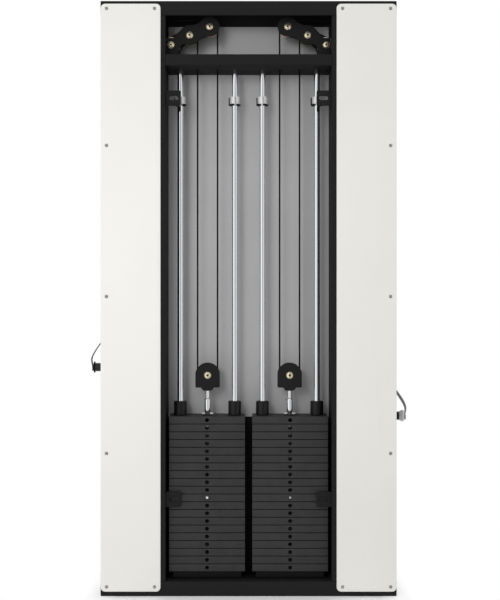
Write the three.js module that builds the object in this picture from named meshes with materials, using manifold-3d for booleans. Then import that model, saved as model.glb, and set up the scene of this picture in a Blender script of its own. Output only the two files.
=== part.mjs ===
// Twin weight stack and pulley unit: a steel frame, two pinned plate stacks on guide rods, a
// floating pulley over each, and a height-adjustable handle carriage on each outer column.
// Millimetres, +Z up. The open rear faces -Y, the user stands on the +Y side. The origin is on
// the floor, midway between the stacks, in the plane of the guide rods and of the cable.
// Each side is built for +X; the left one is its mirror image with the carriage set higher.

import * as THREE from "three";
import { mergeVertices } from "three/addons/utils/BufferGeometryUtils.js";
import Module from "manifold-3d";

const wasm = await Module();
wasm.setup();

// Clearances
const fitGap = 0.3; // between fixed pieces that meet
const runGap = 0.6; // around a shaft or rod that something turns or slides on
const overrun = 6; // how far a cut runs past the face that it opens
const joinDepth = 1; // how far a welded piece reaches into the one that carries it

// Weight stack
const plateWidth = 270;
const plateDepth = 100;
const platePitch = 27.65;
const plateChamfer = 1.2;
const plateCount = 20;
const restingCount = 9; // plates below the pin
const stackGap = 26; // between the two stacks
const cushionHeight = 28;
const cushionMargin = 12; // the cushion stands in from the plates' edges
const rodInset = 37; // guide rod axis from the plate's end
const rodRadius = 11;
const rodFootDepth = 22; // how far a rod reaches into the base beam
const rodHeadDepth = 30; // and into the middle beam
const bushRadius = 24;
const bushHeight = 50;
const collarRadius = 17.5;
const collarHeight = 27;
const collarDrop = 97; // collar's top below the middle beam
const bumperRadius = 22;
const bumperHeight = 5.5;

// Selector stem and pin
const barWidth = 18;
const barGap = 1;
const barLift = 4; // bar's end above the cushion
const pinHoleRadius = 7;
const pinRadius = 5.6;
const pinTipInset = 4; // pin's tip from the plates' rear face
const pinPoint = 3;
const pinKnobRadius = 16;
const pinKnobLength = 18;
const stemFlangeRadius = 20.5;
const stemFlangeHeight = 7;
const couplerRadius = 11;
const couplerTop = 60; // above the top plate
const couplerTaper = 5;
const neckRadius = 7;

// Frame
const overallHeight = 2104;
const frameWall = 3;
const baseBeamHeight = 52;
const topBeamHeight = 51;
const middleBeamHeight = 40;
const middleBeamDrop = 228; // its underside below the top of the frame
const beamOverhang = 3.5;
const plateSideGap = 12; // plate to column
const plateFaceGap = 25; // plate to the frame's front and rear face
const columnWidth = 225;
const columnLip = 30;
const windowHalfDepth = 32; // opening in a column's inner wall for cable and pulley
const strandHoleRadius = 9;

// Covers and panels
const coverThickness = 4;
const coverWidth = 211.5;
const coverSetback = 16; // from the column's inner face
const coverFoot = 17;
const coverHead = 11;
const coverCorner = 16;
const panelThickness = 2;
const panelLap = 20; // over each column
const panelEnd = 10; // from the floor and from the top
const panelSplit = 618;
const pinSlotWidth = 60;

// Wall lugs, welded to the columns' inner walls
const lugSize = 54;
const lugThickness = 5;
const lugInset = 12; // behind the rear face
const lugSlotLength = 32;
const lugSlotWidth = 15;
const lugSlotInset = 29; // slot's centre from the wall
const lugCorner = 5;
const upperLugDrop = 341;
const lowerLugHeight = 340;

// Cable and pulleys
const cableRadius = 3;
const grooveGap = 0.5;
const sheavePitch = 28;
const sheaveFlange = 5;
const sheaveWidth = 16;
const grooveFloor = 7.4;
const floatPitch = 36;
const floatFlange = 5;
const cheekGap = 19;
const cheekPlate = 4;
const axleRadius = 6;
const boltHeadRadius = 11;
const boltHeadHeight = 5;
const spacerRadius = 10;
const strandJoinRise = 9; // where moving and standing cable meet, above the middle beam

// Pulley bracket on the middle beam
const bracketGap = 32;
const bracketPlate = 4;
const bracketDisc = 36;
const bracketFillet = 54;
const outerSheaveRise = 47; // above the middle beam
const middleSheaveRise = 35; // above the outer one
const innerSheaveRise = 31; // above the middle one
const outerSheaveReach = 67; // beyond the middle one, towards the column
const bracketShoulder = 27; // plate above the outer bolt
const bracketTail = 15.7; // and beyond it
const bracketFootLength = 40;
const bracketThroat = 22; // height of the foot's inner curve

// Pulleys in the columns
const columnCableInset = 25; // standing cable from the column's outer face
const lowerSheaveHeight = 150;

// Floating pulley
const yokeRise = 143; // bolt above the top plate
const yokeDome = 44.5;
const yokeHalfWidth = 43.5;
const yokeSkirt = 44; // below the bolt
const yokeLugDrop = 55;
const yokeLugHalfWidth = 21;
const yokeLugFoot = 11.5;
const yokeBlockGap = 2;

// Carriage rail
const railSize = 50;
const railWall = 3;
const railInset = 74; // its axis from the column's inner face
const railStandoff = 7;
const railFoot = 150;
const railHead = 104; // below the top of the frame
const standoffHeight = 40;
const notchPitch = 61;
const notchCount = 24;
const firstNotch = 438;
const leftNotchCount = 11; // notches below the left carriage
const rightNotchCount = 8;

// Carriage
const sleeveGap = 1;
const sleeveWall = 5;
const sleeveLength = 150;
const armThickness = 12;
const armSleeveHalf = 52;
const armCheekTop = 8;
const armCheekBottom = 46;
const slotSideGap = 2.5;
const slotEndGap = 12;
const plungerBossRadius = 12;
const plungerBossLength = 14;
const plungerTipDepth = 3; // past the rail's wall
const plungerKnobRadius = 17;
const plungerKnobLength = 24;
const plungerNeckLength = 16; // finger room behind the knob
const handleReach = 150; // hanging cable from the plane of the guide rods

// Handle
const ballRadius = 18;
const ballDrop = 45; // ball's top below the front pulley's axle
const forkDrop = 14; // swivel pin below the ball
const forkEar = 4;
const forkHalfWidth = 5;
const forkPinRadius = 3;
const gripDrop = 191; // grip's axis below the swivel pin
const ringThickness = 7;
const ringHalfWidth = 22;
const ringHeadRadius = 7.5;
const strapWidth = 26;
const strapThickness = 3;
const strapRise = 145; // above the grip's axis
const strapBulge = 94.5;
const strapBulgeRise = 36;
const strapShoulder = 66;
const strapShoulderRise = 84;
const strapBrow = 31;
const strapBrowRise = 126;
const strapFootReach = 90;
const strapFootDrop = 13;
const coreRadius = 7;
const gripRadius = 16;
const gripFlangeRadius = 21.5;
const gripFlangeWidth = 6;
const gripHalfLength = 86;
const gripBoreGap = 1;

// Sides of round work
const roundSides = 12;
const smallSides = 8;
const boltSides = 6;
const cableSides = 6;
const holeSides = 6;
const hiddenSides = 4; // holes of the selector bar, inside the plates
const arcSteps = 2;
const bendStep = Math.PI / 10;
const mergeTolerance = 0.001;

// Places that follow from the sizes above
const rear = -frameDepth() / 2;
const front = frameDepth() / 2;
const stackX = (plateWidth + stackGap) / 2;
const columnInner = stackX + plateWidth / 2 + plateSideGap;
const columnOuter = columnInner + columnWidth;
const stackBottom = baseBeamHeight + cushionHeight;
const stackTop = stackBottom + plateCount * platePitch;
const topPlateBottom = stackTop - platePitch;
const middleBeamBottom = overallHeight - middleBeamDrop;
const middleBeamTop = middleBeamBottom + middleBeamHeight;
const columnTop = overallHeight - topBeamHeight - fitGap;
const strandJoin = middleBeamTop + strandJoinRise;
const floatZ = stackTop + yokeRise;
const rodXs = [stackX - plateWidth / 2 + rodInset, stackX + plateWidth / 2 - rodInset];
const strandXs = [stackX - floatPitch, stackX + floatPitch];
const outerSheave = new THREE.Vector2(
  strandXs[1] + sheavePitch + outerSheaveReach,
  middleBeamTop + outerSheaveRise,
);
const middleSheave = new THREE.Vector2(
  strandXs[1] + sheavePitch,
  outerSheave.y + middleSheaveRise,
);
const innerSheave = new THREE.Vector2(
  strandXs[0] + sheavePitch,
  middleSheave.y + innerSheaveRise,
);
const bracketEnd = outerSheave.x + bracketTail;
const columnCableX = columnOuter - columnCableInset;
const upperSheave = new THREE.Vector2(columnCableX - sheavePitch, innerSheave.y);
const lowerSheave = new THREE.Vector2(columnCableX - sheavePitch, lowerSheaveHeight);
const railX = columnInner + railInset;
const railY = front + railStandoff + railSize / 2;
const sleeveOuter = railSize / 2 + sleeveGap + sleeveWall;
const cheekHalf = cheekGap / 2 + cheekPlate;
const frontSheaveY = handleReach - sheavePitch;
const ballMiddle = -sheavePitch - ballDrop - ballRadius; // from the carriage's middle
const handlePivot = ballMiddle - ballRadius - forkDrop;
const plungerStroke = railWall + plungerTipDepth + runGap; // from drawn back to engaged

function frameDepth() {
  return plateDepth + 2 * plateFaceGap;
}

function notchHeight(notch) {
  return firstNotch + notch * notchPitch;
}

function plateMiddle(index) {
  return stackBottom + (index + 0.5) * platePitch;
}

// Finishes
function finish(color, roughness, metalness) {
  return new THREE.MeshStandardMaterial({ color, roughness, metalness, flatShading: true });
}

const frameBlack = finish(0x232425, 0.45, 0.3);
const coverWhite = finish(0xe9e8e2, 0.5, 0);
const panelGrey = finish(0x8b8c8e, 0.6, 0.1);
const plateGrey = finish(0x3c3c3d, 0.6, 0.2);
const chrome = finish(0xd8dade, 0.15, 1);
const blackRubber = finish(0x141414, 0.8, 0);
const cableBlack = finish(0x101010, 0.5, 0);
const sheaveGold = finish(0xa98d55, 0.4, 0.4);
const knobBlack = finish(0x1b1b1c, 0.4, 0);
const strapGrey = finish(0x55565a, 0.9, 0);

// A closed geometry as a solid with its faces pointing outwards.
function solid(geometry) {
  const bare = geometry.clone();
  bare.deleteAttribute("normal");
  bare.deleteAttribute("uv");
  const merged = mergeVertices(bare, mergeTolerance);
  const vertProperties = new Float32Array(merged.attributes.position.array);
  const triVerts = new Uint32Array(merged.index.array);
  if (signedVolume(vertProperties, triVerts) < 0) triVerts.reverse();
  return new wasm.Manifold(new wasm.Mesh({ numProp: 3, vertProperties, triVerts }));
}

function signedVolume(vertices, triangles) {
  const corner = (index) => new THREE.Vector3().fromArray(vertices, 3 * triangles[index]);
  let volume = 0;
  for (let i = 0; i < triangles.length; i += 3) {
    volume += corner(i).dot(corner(i + 1).cross(corner(i + 2))) / 6;
  }
  return volume;
}

function geometryOf(manifold) {
  const mesh = manifold.getMesh();
  const indexed = new THREE.BufferGeometry();
  indexed.setAttribute("position", new THREE.BufferAttribute(mesh.vertProperties, 3));
  indexed.setIndex(new THREE.BufferAttribute(mesh.triVerts, 1));
  const geometry = indexed.toNonIndexed();
  geometry.computeVertexNormals();
  return geometry;
}

function join(...pieces) {
  return geometryOf(pieces.map(solid).reduce((whole, next) => whole.add(next)));
}

function cut(body, ...tools) {
  return geometryOf(tools.map(solid).reduce((whole, tool) => whole.subtract(tool), solid(body)));
}

function common(first, second) {
  return geometryOf(solid(first).intersect(solid(second)));
}

// A block between two limits on each axis.
function block([x0, x1], [y0, y1], [z0, z1]) {
  const geometry = new THREE.BoxGeometry(x1 - x0, y1 - y0, z1 - z0);
  return geometry.translate((x0 + x1) / 2, (y0 + y1) / 2, (z0 + z1) / 2);
}

function around(middle, half) {
  return [middle - half, middle + half];
}

// An outline pushed through along an axis. It is drawn in x and y for a push along z, in x and
// z for a push along y, and in y and z for a push along x.
function prism(axis, outline, [from, to]) {
  const settings = { depth: to - from, bevelEnabled: false, curveSegments: arcSteps };
  const geometry = new THREE.ExtrudeGeometry(outline, settings);
  if (axis === "z") return geometry.translate(0, 0, from);
  if (axis === "y") return geometry.translate(0, 0, -to).rotateX(Math.PI / 2);
  const toX = new THREE.Matrix4().makeBasis(
    new THREE.Vector3(0, 1, 0),
    new THREE.Vector3(0, 0, 1),
    new THREE.Vector3(1, 0, 0),
  );
  return geometry.translate(0, 0, from).applyMatrix4(toX);
}

// A profile of [radius, place along the axis] pairs turned about an axis through the origin.
function turned(axis, profile, sides) {
  const points = profile.map(([radius, along]) => new THREE.Vector2(radius, along));
  const geometry = new THREE.LatheGeometry(points, sides);
  if (axis === "z") return geometry.rotateX(Math.PI / 2);
  if (axis === "x") return geometry.rotateZ(-Math.PI / 2);
  return geometry;
}

function bar(axis, radius, [from, to], sides) {
  return turned(axis, [[0, from], [radius, from], [radius, to], [0, to]], sides);
}

function polygon(points) {
  return new THREE.Shape(points.map(([x, y]) => new THREE.Vector2(x, y)));
}

function roundedRectangle([x0, x1], [y0, y1], radius) {
  const shape = new THREE.Shape();
  shape.absarc(x1 - radius, y1 - radius, radius, 0, Math.PI / 2, false);
  shape.absarc(x0 + radius, y1 - radius, radius, Math.PI / 2, Math.PI, false);
  shape.absarc(x0 + radius, y0 + radius, radius, Math.PI, -Math.PI / 2, false);
  shape.absarc(x1 - radius, y0 + radius, radius, -Math.PI / 2, 0, false);
  return shape;
}

// A slot with round ends, lying along the first of its two limits or standing along the second.
function slotOutline(across, up) {
  const radius = Math.min(across[1] - across[0], up[1] - up[0]) / 2;
  return roundedRectangle(across, up, radius);
}

function regularPolygon(radius, sides) {
  const corner = (unused, index) => {
    const angle = (2 * Math.PI * (index + 0.5)) / sides;
    return [radius * Math.cos(angle), radius * Math.sin(angle)];
  };
  return polygon(Array.from({ length: sides }, corner));
}

// The centre line of a cable that leaves a start, bends round each wheel and reaches an end.
// A stop is a place and a signed radius: positive bends the cable to its left, negative to its
// right, and zero is a bare end. Straight runs are the tangents between neighbouring wheels.
function reeve(stops) {
  const runs = stops.slice(1).map((next, index) => tangent(stops[index], next));
  const points = [runs[0].start];
  for (let i = 1; i < runs.length; i++) {
    points.push(...bend(stops[i], runs[i - 1].heading, runs[i].heading));
  }
  points.push(runs[runs.length - 1].end);
  return points;
}

function leftOf(heading) {
  return new THREE.Vector2(-Math.sin(heading), Math.cos(heading));
}

function touchPoint(stop, heading) {
  return stop.place.clone().addScaledVector(leftOf(heading), -stop.radius);
}

function tangent(from, to) {
  const span = to.place.clone().sub(from.place);
  const heading = span.angle() - Math.asin((to.radius - from.radius) / span.length());
  return { heading, start: touchPoint(from, heading), end: touchPoint(to, heading) };
}

function bend(stop, arriving, leaving) {
  const turn = 2 * Math.PI;
  const left = (((leaving - arriving) % turn) + turn) % turn;
  const sweep = stop.radius > 0 ? left : left - turn;
  const steps = Math.ceil(Math.abs(sweep) / bendStep);
  const headings = Array.from({ length: steps + 1 }, (unused, k) => arriving + (sweep * k) / steps);
  return headings.map((heading) => touchPoint(stop, heading));
}

// A path whose steps fall on the given points.
class Route extends THREE.Curve {
  constructor(points) {
    super();
    this.points = points;
  }

  getPoint(share, target = new THREE.Vector3()) {
    const last = this.points.length - 1;
    const index = Math.min(Math.floor(share * last), last - 1);
    return target.lerpVectors(this.points[index], this.points[index + 1], share * last - index);
  }

  getTangent(share, target = new THREE.Vector3()) {
    const last = this.points.length - 1;
    const index = Math.round(share * last);
    target.set(0, 0, 0);
    for (const start of [Math.max(index - 1, 0), Math.min(index, last - 1)]) {
      const step = this.points[start + 1].clone().sub(this.points[start]);
      target.add(step.normalize());
    }
    return target.normalize();
  }

  getUtoTmapping(share) {
    return share;
  }
}

function cableTube(points) {
  const settings = { steps: points.length - 1, extrudePath: new Route(points), bevelEnabled: false };
  return new THREE.ExtrudeGeometry(regularPolygon(cableRadius, cableSides), settings);
}

function inStackPlane(point) {
  return new THREE.Vector3(point.x, 0, point.y);
}

function piece(name, geometry, material, place = [0, 0, 0]) {
  const mesh = new THREE.Mesh(geometry, material);
  mesh.name = name;
  mesh.position.set(...place);
  return mesh;
}

// Frame
function rodHoles(zRange) {
  const holes = [];
  for (const x of rodXs) {
    for (const side of [-1, 1]) {
      holes.push(bar("z", rodRadius + fitGap, zRange, roundSides).translate(side * x, 0, 0));
    }
  }
  return holes;
}

function baseBeam() {
  const half = columnOuter + beamOverhang;
  const outer = block([-half, half], [rear, front], [0, baseBeamHeight]);
  const hollow = block(
    [-half + frameWall, half - frameWall],
    [rear + frameWall, front - frameWall],
    [frameWall, baseBeamHeight - frameWall],
  );
  const holes = rodHoles([baseBeamHeight - frameWall - overrun, baseBeamHeight + overrun]);
  return cut(outer, hollow, ...holes);
}

function topBeam() {
  const half = columnOuter + beamOverhang;
  const bottom = overallHeight - topBeamHeight;
  const outer = block([-half, half], [rear, front], [bottom, overallHeight]);
  const hollow = block(
    [-half + frameWall, half - frameWall],
    [rear + frameWall, front - frameWall],
    [bottom - overrun, overallHeight - frameWall],
  );
  return cut(outer, hollow);
}

function middleBeam() {
  const half = columnInner - fitGap;
  const outer = block([-half, half], [rear, front], [middleBeamBottom, middleBeamTop]);
  const hollow = block(
    [-half - overrun, half + overrun],
    [rear + frameWall, front - frameWall],
    [middleBeamBottom + frameWall, middleBeamTop - frameWall],
  );
  const rodSeats = rodHoles([middleBeamBottom - overrun, middleBeamBottom + frameWall + overrun]);
  const range = [middleBeamBottom - overrun, middleBeamTop + overrun];
  const strandHoles = [...strandXs, ...strandXs.map((x) => -x)].map((x) =>
    bar("z", strandHoleRadius, range, smallSides).translate(x, 0, 0),
  );
  return cut(outer, hollow, ...rodSeats, ...strandHoles);
}

function columnChannel() {
  const lipInner = columnInner + columnLip;
  const lipOuter = columnOuter - columnLip;
  const section = polygon([
    [lipInner, rear],
    [lipInner, rear + frameWall],
    [columnInner + frameWall, rear + frameWall],
    [columnInner + frameWall, front - frameWall],
    [columnOuter - frameWall, front - frameWall],
    [columnOuter - frameWall, rear + frameWall],
    [lipOuter, rear + frameWall],
    [lipOuter, rear],
    [columnOuter, rear],
    [columnOuter, front],
    [columnInner, front],
    [columnInner, rear],
  ]);
  return prism("z", section, [baseBeamHeight + fitGap, columnTop]);
}

function wallLug(middle) {
  const across = [columnInner - lugSize, columnInner + joinDepth];
  const outline = roundedRectangle(across, around(middle, lugSize / 2), lugCorner);
  const slotMiddle = columnInner - lugSlotInset;
  outline.holes.push(
    slotOutline(around(slotMiddle, lugSlotLength / 2), around(middle, lugSlotWidth / 2)),
  );
  return prism("y", outline, [rear + lugInset, rear + lugInset + lugThickness]);
}

function carriageRail() {
  const top = overallHeight - railHead;
  const outer = block(around(railX, railSize / 2), around(railY, railSize / 2), [railFoot, top]);
  const boreHalf = railSize / 2 - railWall;
  const bore = block(
    around(railX, boreHalf),
    around(railY, boreHalf),
    [railFoot - overrun, top + overrun],
  );
  const standoffs = [railFoot, top - standoffHeight].map((foot) =>
    block(
      around(railX, railSize / 2),
      [front - joinDepth, front + railStandoff + joinDepth],
      [foot, foot + standoffHeight],
    ),
  );
  return cut(join(outer, ...standoffs), bore, ...notchHoles());
}

function notchHoles() {
  const wallFace = railY + railSize / 2;
  const depth = [wallFace - railWall - overrun, wallFace + overrun];
  return Array.from({ length: notchCount }, (unused, notch) =>
    prism("y", regularPolygon(pinHoleRadius, holeSides), depth).translate(railX, 0, notchHeight(notch)),
  );
}

// The shaft of a pulley inside the column: a shoulder from the front wall, then the journal.
function columnAxle(place) {
  const profile = [
    [0, -sheaveWidth / 2 - runGap - boltHeadHeight],
    [boltHeadRadius, -sheaveWidth / 2 - runGap - boltHeadHeight],
    [boltHeadRadius, -sheaveWidth / 2 - runGap],
    [axleRadius, -sheaveWidth / 2 - runGap],
    [axleRadius, sheaveWidth / 2 + runGap],
    [spacerRadius, sheaveWidth / 2 + runGap],
    [spacerRadius, front - frameWall + joinDepth],
    [0, front - frameWall + joinDepth],
  ];
  return turned("y", profile, boltSides).translate(place.x, 0, place.y);
}

function column() {
  const window = block(
    [columnInner - overrun, columnInner + frameWall + overrun],
    [-windowHalfDepth, windowHalfDepth],
    [middleBeamTop, columnTop + overrun],
  );
  const reach = sheavePitch + bracketDisc + slotEndGap;
  const slot = prism(
    "y",
    slotOutline(
      around(columnCableX, cheekHalf + slotSideGap),
      [firstNotch - reach, notchHeight(notchCount - 1) + reach],
    ),
    [front - frameWall - overrun, front + overrun],
  );
  const shell = cut(columnChannel(), window, slot);
  const lugs = [wallLug(overallHeight - upperLugDrop), wallLug(lowerLugHeight)];
  return join(shell, ...lugs, carriageRail(), columnAxle(upperSheave), columnAxle(lowerSheave));
}

function rearCover() {
  const inner = columnInner + coverSetback;
  const outline = roundedRectangle(
    [inner, inner + coverWidth],
    [coverFoot, overallHeight - coverHead],
    coverCorner,
  );
  return prism("y", outline, [rear - fitGap - coverThickness, rear - fitGap]);
}

// Front panels
function panelRange() {
  const half = columnInner + panelLap;
  return { across: [-half, half], through: [front + fitGap, front + fitGap + panelThickness] };
}

function upperPanel() {
  const { across, through } = panelRange();
  return block(across, through, [panelSplit, overallHeight - panelEnd]);
}

function lowerPanel() {
  const { across, through } = panelRange();
  const sheet = block(across, through, [panelEnd, panelSplit - fitGap]);
  const slots = [-stackX, stackX].map((x) =>
    prism(
      "y",
      slotOutline(around(x, pinSlotWidth / 2), [stackBottom, topPlateBottom]),
      [through[0] - overrun, through[1] + overrun],
    ),
  );
  return cut(sheet, ...slots);
}

// Weight stack
function guideRod() {
  const collarTop = middleBeamBottom - collarDrop;
  const collarBottom = collarTop - collarHeight;
  return turned(
    "z",
    [
      [0, baseBeamHeight - rodFootDepth],
      [rodRadius, baseBeamHeight - rodFootDepth],
      [rodRadius, collarBottom - bumperHeight],
      [bumperRadius, collarBottom - bumperHeight],
      [bumperRadius, collarBottom],
      [collarRadius, collarBottom],
      [collarRadius, collarTop],
      [rodRadius, collarTop],
      [rodRadius, middleBeamBottom + rodHeadDepth],
      [0, middleBeamBottom + rodHeadDepth],
    ],
    roundSides,
  );
}

// Plates in a pile, seen along one side: a small chamfer on every edge leaves the dark seams.
function pileOutline(width, first, count) {
  const right = [];
  for (let i = first; i < first + count; i++) {
    const bottom = stackBottom + i * platePitch + (i === first ? fitGap : 0);
    const top = stackBottom + (i + 1) * platePitch;
    right.push([width / 2 - plateChamfer, bottom]);
    right.push([width / 2, bottom + plateChamfer]);
    right.push([width / 2, top - plateChamfer]);
    if (i === first + count - 1) right.push([width / 2 - plateChamfer, top]);
  }
  const left = right.map(([x, z]) => [-x, z]).reverse();
  return polygon([...right, ...left]);
}

function rodBores(zRange) {
  return rodXs.map((x) =>
    bar("z", rodRadius + runGap, zRange, roundSides).translate(x - stackX, 0, 0),
  );
}

// A run of plates with bores for the guide rods and the selector bar, and a pin hole each.
function platePile(first, count) {
  const wide = prism("y", pileOutline(plateWidth, first, count), around(0, plateDepth / 2));
  const deep = prism("x", pileOutline(plateDepth, first, count), around(0, plateWidth / 2));
  const zRange = [
    stackBottom + first * platePitch - overrun,
    stackBottom + (first + count) * platePitch + overrun,
  ];
  const boreHalf = barWidth / 2 + barGap;
  const bore = block(around(0, boreHalf), around(0, boreHalf), zRange);
  const round = regularPolygon(pinHoleRadius, holeSides);
  const holes = pinHoles(first, count, round, plateDepth / 2 + overrun);
  return cut(common(wide, deep), bore, ...rodBores(zRange), ...holes);
}

function pinHoles(first, count, outline, reach) {
  return Array.from({ length: count }, (unused, i) =>
    prism("y", outline, around(0, reach)).translate(0, 0, plateMiddle(first + i)),
  );
}

function topPlate() {
  const plate = platePile(plateCount - 1, 1);
  const bushes = rodXs.map((x) =>
    turned(
      "z",
      [
        [0, stackTop - joinDepth],
        [bushRadius, stackTop - joinDepth],
        [bushRadius, stackTop + bushHeight],
        [0, stackTop + bushHeight],
      ],
      roundSides,
    ).translate(x - stackX, 0, 0),
  );
  const zRange = [topPlateBottom - overrun, stackTop + bushHeight + overrun];
  return cut(join(plate, ...bushes), ...rodBores(zRange));
}

function stackCushion() {
  const halfWidth = plateWidth / 2 - cushionMargin;
  const halfDepth = plateDepth / 2 - cushionMargin;
  const pad = block(
    [-halfWidth, halfWidth],
    [-halfDepth, halfDepth],
    [baseBeamHeight + fitGap, stackBottom],
  );
  return cut(pad, ...rodBores([baseBeamHeight - overrun, stackBottom + overrun]));
}

function selectorStem() {
  const neckTop = floatZ - yokeLugDrop - fitGap;
  const foot = stackTop + fitGap;
  const turnedPart = turned(
    "z",
    [
      [0, foot],
      [stemFlangeRadius, foot],
      [stemFlangeRadius, foot + stemFlangeHeight],
      [couplerRadius, foot + stemFlangeHeight],
      [couplerRadius, stackTop + couplerTop - couplerTaper],
      [neckRadius, stackTop + couplerTop],
      [neckRadius, neckTop],
      [0, neckTop],
    ],
    roundSides,
  );
  const half = barWidth / 2;
  const selector = block([-half, half], [-half, half], [stackBottom + barLift, foot + joinDepth]);
  const square = regularPolygon(pinHoleRadius * Math.SQRT2, hiddenSides);
  const holes = pinHoles(0, plateCount - 1, square, half + overrun);
  return cut(join(turnedPart, selector), ...holes);
}

function selectorPin() {
  const tip = -plateDepth / 2 + pinTipInset;
  const face = plateDepth / 2 + fitGap;
  const dish = pinKnobLength / 3;
  return turned(
    "y",
    [
      [0, tip],
      [pinRadius - pinPoint, tip],
      [pinRadius, tip + pinPoint],
      [pinRadius, face],
      [pinKnobRadius - pinPoint, face],
      [pinKnobRadius, face + dish],
      [pinKnobRadius, face + pinKnobLength - pinPoint],
      [pinKnobRadius - pinPoint, face + pinKnobLength],
      [0, face + pinKnobLength],
    ],
    smallSides,
  );
}

// Pulleys
function sheave(pitch, flange, sides) {
  const half = sheaveWidth / 2;
  const floorRadius = pitch - cableRadius - grooveGap;
  const rim = pitch + flange;
  const bore = axleRadius + runGap;
  const profile = [
    [bore, -half],
    [rim, -half],
    [floorRadius, -grooveFloor / 2],
    [floorRadius, grooveFloor / 2],
    [rim, half],
    [bore, half],
    [bore, -half],
  ];
  return turned("y", profile, sides);
}

// A bolt along y with a head at each end, and spacers that keep a sheave midway in the gap.
function pulleyBolt(gap, plate) {
  const spacer = sheaveWidth / 2 + runGap;
  const face = gap / 2 + plate;
  const half = [
    [axleRadius, spacer],
    [spacerRadius, spacer],
    [boltHeadRadius, face],
    [boltHeadRadius, face + boltHeadHeight],
    [0, face + boltHeadHeight],
  ];
  const other = half.map(([radius, along]) => [radius, -along]).reverse();
  return turned("y", [...other, ...half], boltSides);
}

// The side plate: a disc behind each of the two inner bolts, blended by hollow curves, and a
// shoulder over the outer bolt that comes down to a foot on the middle beam.
function bracketOutline() {
  const foot = middleBeamTop + fitGap;
  const shoulder = outerSheave.y + bracketShoulder;
  const upper = scallop(innerSheave, middleSheave, 1);
  const lower = scallop(innerSheave, middleSheave, -1);
  const shoulderAngle = Math.asin((shoulder - middleSheave.y) / bracketDisc);
  const shape = new THREE.Shape();
  const half = Math.PI;
  const arc = (centre, radius, from, to, clockwise) =>
    shape.absarc(centre.x, centre.y, radius, from, to, clockwise);
  shape.moveTo(bracketEnd, foot);
  shape.lineTo(bracketEnd, shoulder);
  arc(middleSheave, bracketDisc, shoulderAngle, upper.atSecond, false);
  arc(upper.centre, bracketFillet, upper.atSecond - half, upper.atFirst - half, true);
  arc(innerSheave, bracketDisc, upper.atFirst, lower.atFirst + 2 * half, false);
  arc(lower.centre, bracketFillet, lower.atFirst + half, lower.atSecond + half, true);
  arc(middleSheave, bracketDisc, lower.atSecond, -half / 3, false);
  const toe = bracketEnd - bracketFootLength;
  shape.quadraticCurveTo(toe, foot + 2 * bracketThroat, toe, foot);
  return shape;
}

// The fillet circle that touches two equal discs, above (1) or below (-1) the line between
// them, and the angle from each disc's centre to it.
function scallop(first, second, side) {
  const span = second.clone().sub(first);
  const reach = bracketDisc + bracketFillet;
  const offset = Math.sqrt(reach * reach - span.lengthSq() / 4);
  const centre = first.clone().addScaledVector(span, 0.5);
  centre.addScaledVector(leftOf(span.angle()), side * offset);
  const angleFrom = (disc) => Math.atan2(centre.y - disc.y, centre.x - disc.x);
  return { centre, atFirst: angleFrom(first), atSecond: angleFrom(second) };
}

function pulleyBracket() {
  const outline = bracketOutline();
  const inside = bracketGap / 2;
  const foot = middleBeamTop + fitGap;
  const plates = [[-inside - bracketPlate, -inside], [inside, inside + bracketPlate]].map((range) =>
    prism("y", outline, range),
  );
  const sole = block(
    [bracketEnd - bracketFootLength, bracketEnd],
    [-inside - joinDepth, inside + joinDepth],
    [foot, foot + bracketPlate],
  );
  const bolts = [innerSheave, middleSheave, outerSheave].map((place) =>
    pulleyBolt(bracketGap, bracketPlate).translate(place.x, 0, place.y),
  );
  return join(...plates, sole, ...bolts);
}

function yokeCheek() {
  const rise = Math.sqrt(yokeDome * yokeDome - yokeHalfWidth * yokeHalfWidth);
  const edge = Math.atan2(rise, yokeHalfWidth);
  const shape = new THREE.Shape();
  shape.moveTo(-yokeHalfWidth, -yokeSkirt);
  shape.lineTo(yokeHalfWidth, -yokeSkirt);
  shape.absarc(0, 0, yokeDome, edge, Math.PI - edge, false);
  return shape;
}

function yokeLug() {
  const top = -(floatPitch + floatFlange + yokeBlockGap);
  const shape = new THREE.Shape();
  shape.moveTo(yokeLugHalfWidth, top);
  shape.lineTo(-yokeLugHalfWidth, top);
  shape.lineTo(-yokeLugHalfWidth, -yokeSkirt);
  shape.quadraticCurveTo(-yokeLugFoot - yokeBlockGap, -yokeLugDrop, -yokeLugFoot, -yokeLugDrop);
  shape.lineTo(yokeLugFoot, -yokeLugDrop);
  shape.quadraticCurveTo(yokeLugFoot + yokeBlockGap, -yokeLugDrop, yokeLugHalfWidth, -yokeSkirt);
  return shape;
}

function pulleyYoke() {
  const inside = cheekGap / 2;
  const cheeks = [[-cheekHalf, -inside], [inside, cheekHalf]].map((range) =>
    prism("y", yokeCheek(), range),
  );
  const lug = prism("y", yokeLug(), [-cheekHalf, cheekHalf]);
  return join(...cheeks, lug, pulleyBolt(cheekGap, cheekPlate));
}

// Cable
function liftCable() {
  const stops = [
    { place: new THREE.Vector2(strandXs[0], strandJoin), radius: 0 },
    { place: new THREE.Vector2(stackX, floatZ), radius: floatPitch },
    { place: new THREE.Vector2(strandXs[1], strandJoin), radius: 0 },
  ];
  return cableTube(reeve(stops).map(inStackPlane));
}

// From the inner strand over the bracket and the column's top pulley, down the column, round
// its bottom pulley, back up to the bracket and over it to the outer strand.
function standingCable() {
  const end = strandJoin + fitGap;
  const stops = [
    { place: new THREE.Vector2(strandXs[0], end), radius: 0 },
    { place: innerSheave, radius: -sheavePitch },
    { place: upperSheave, radius: -sheavePitch },
    { place: lowerSheave, radius: -sheavePitch },
    { place: outerSheave, radius: sheavePitch },
    { place: middleSheave, radius: sheavePitch },
    { place: new THREE.Vector2(strandXs[1], end), radius: 0 },
  ];
  return cableTube(reeve(stops).map(inStackPlane));
}

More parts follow.
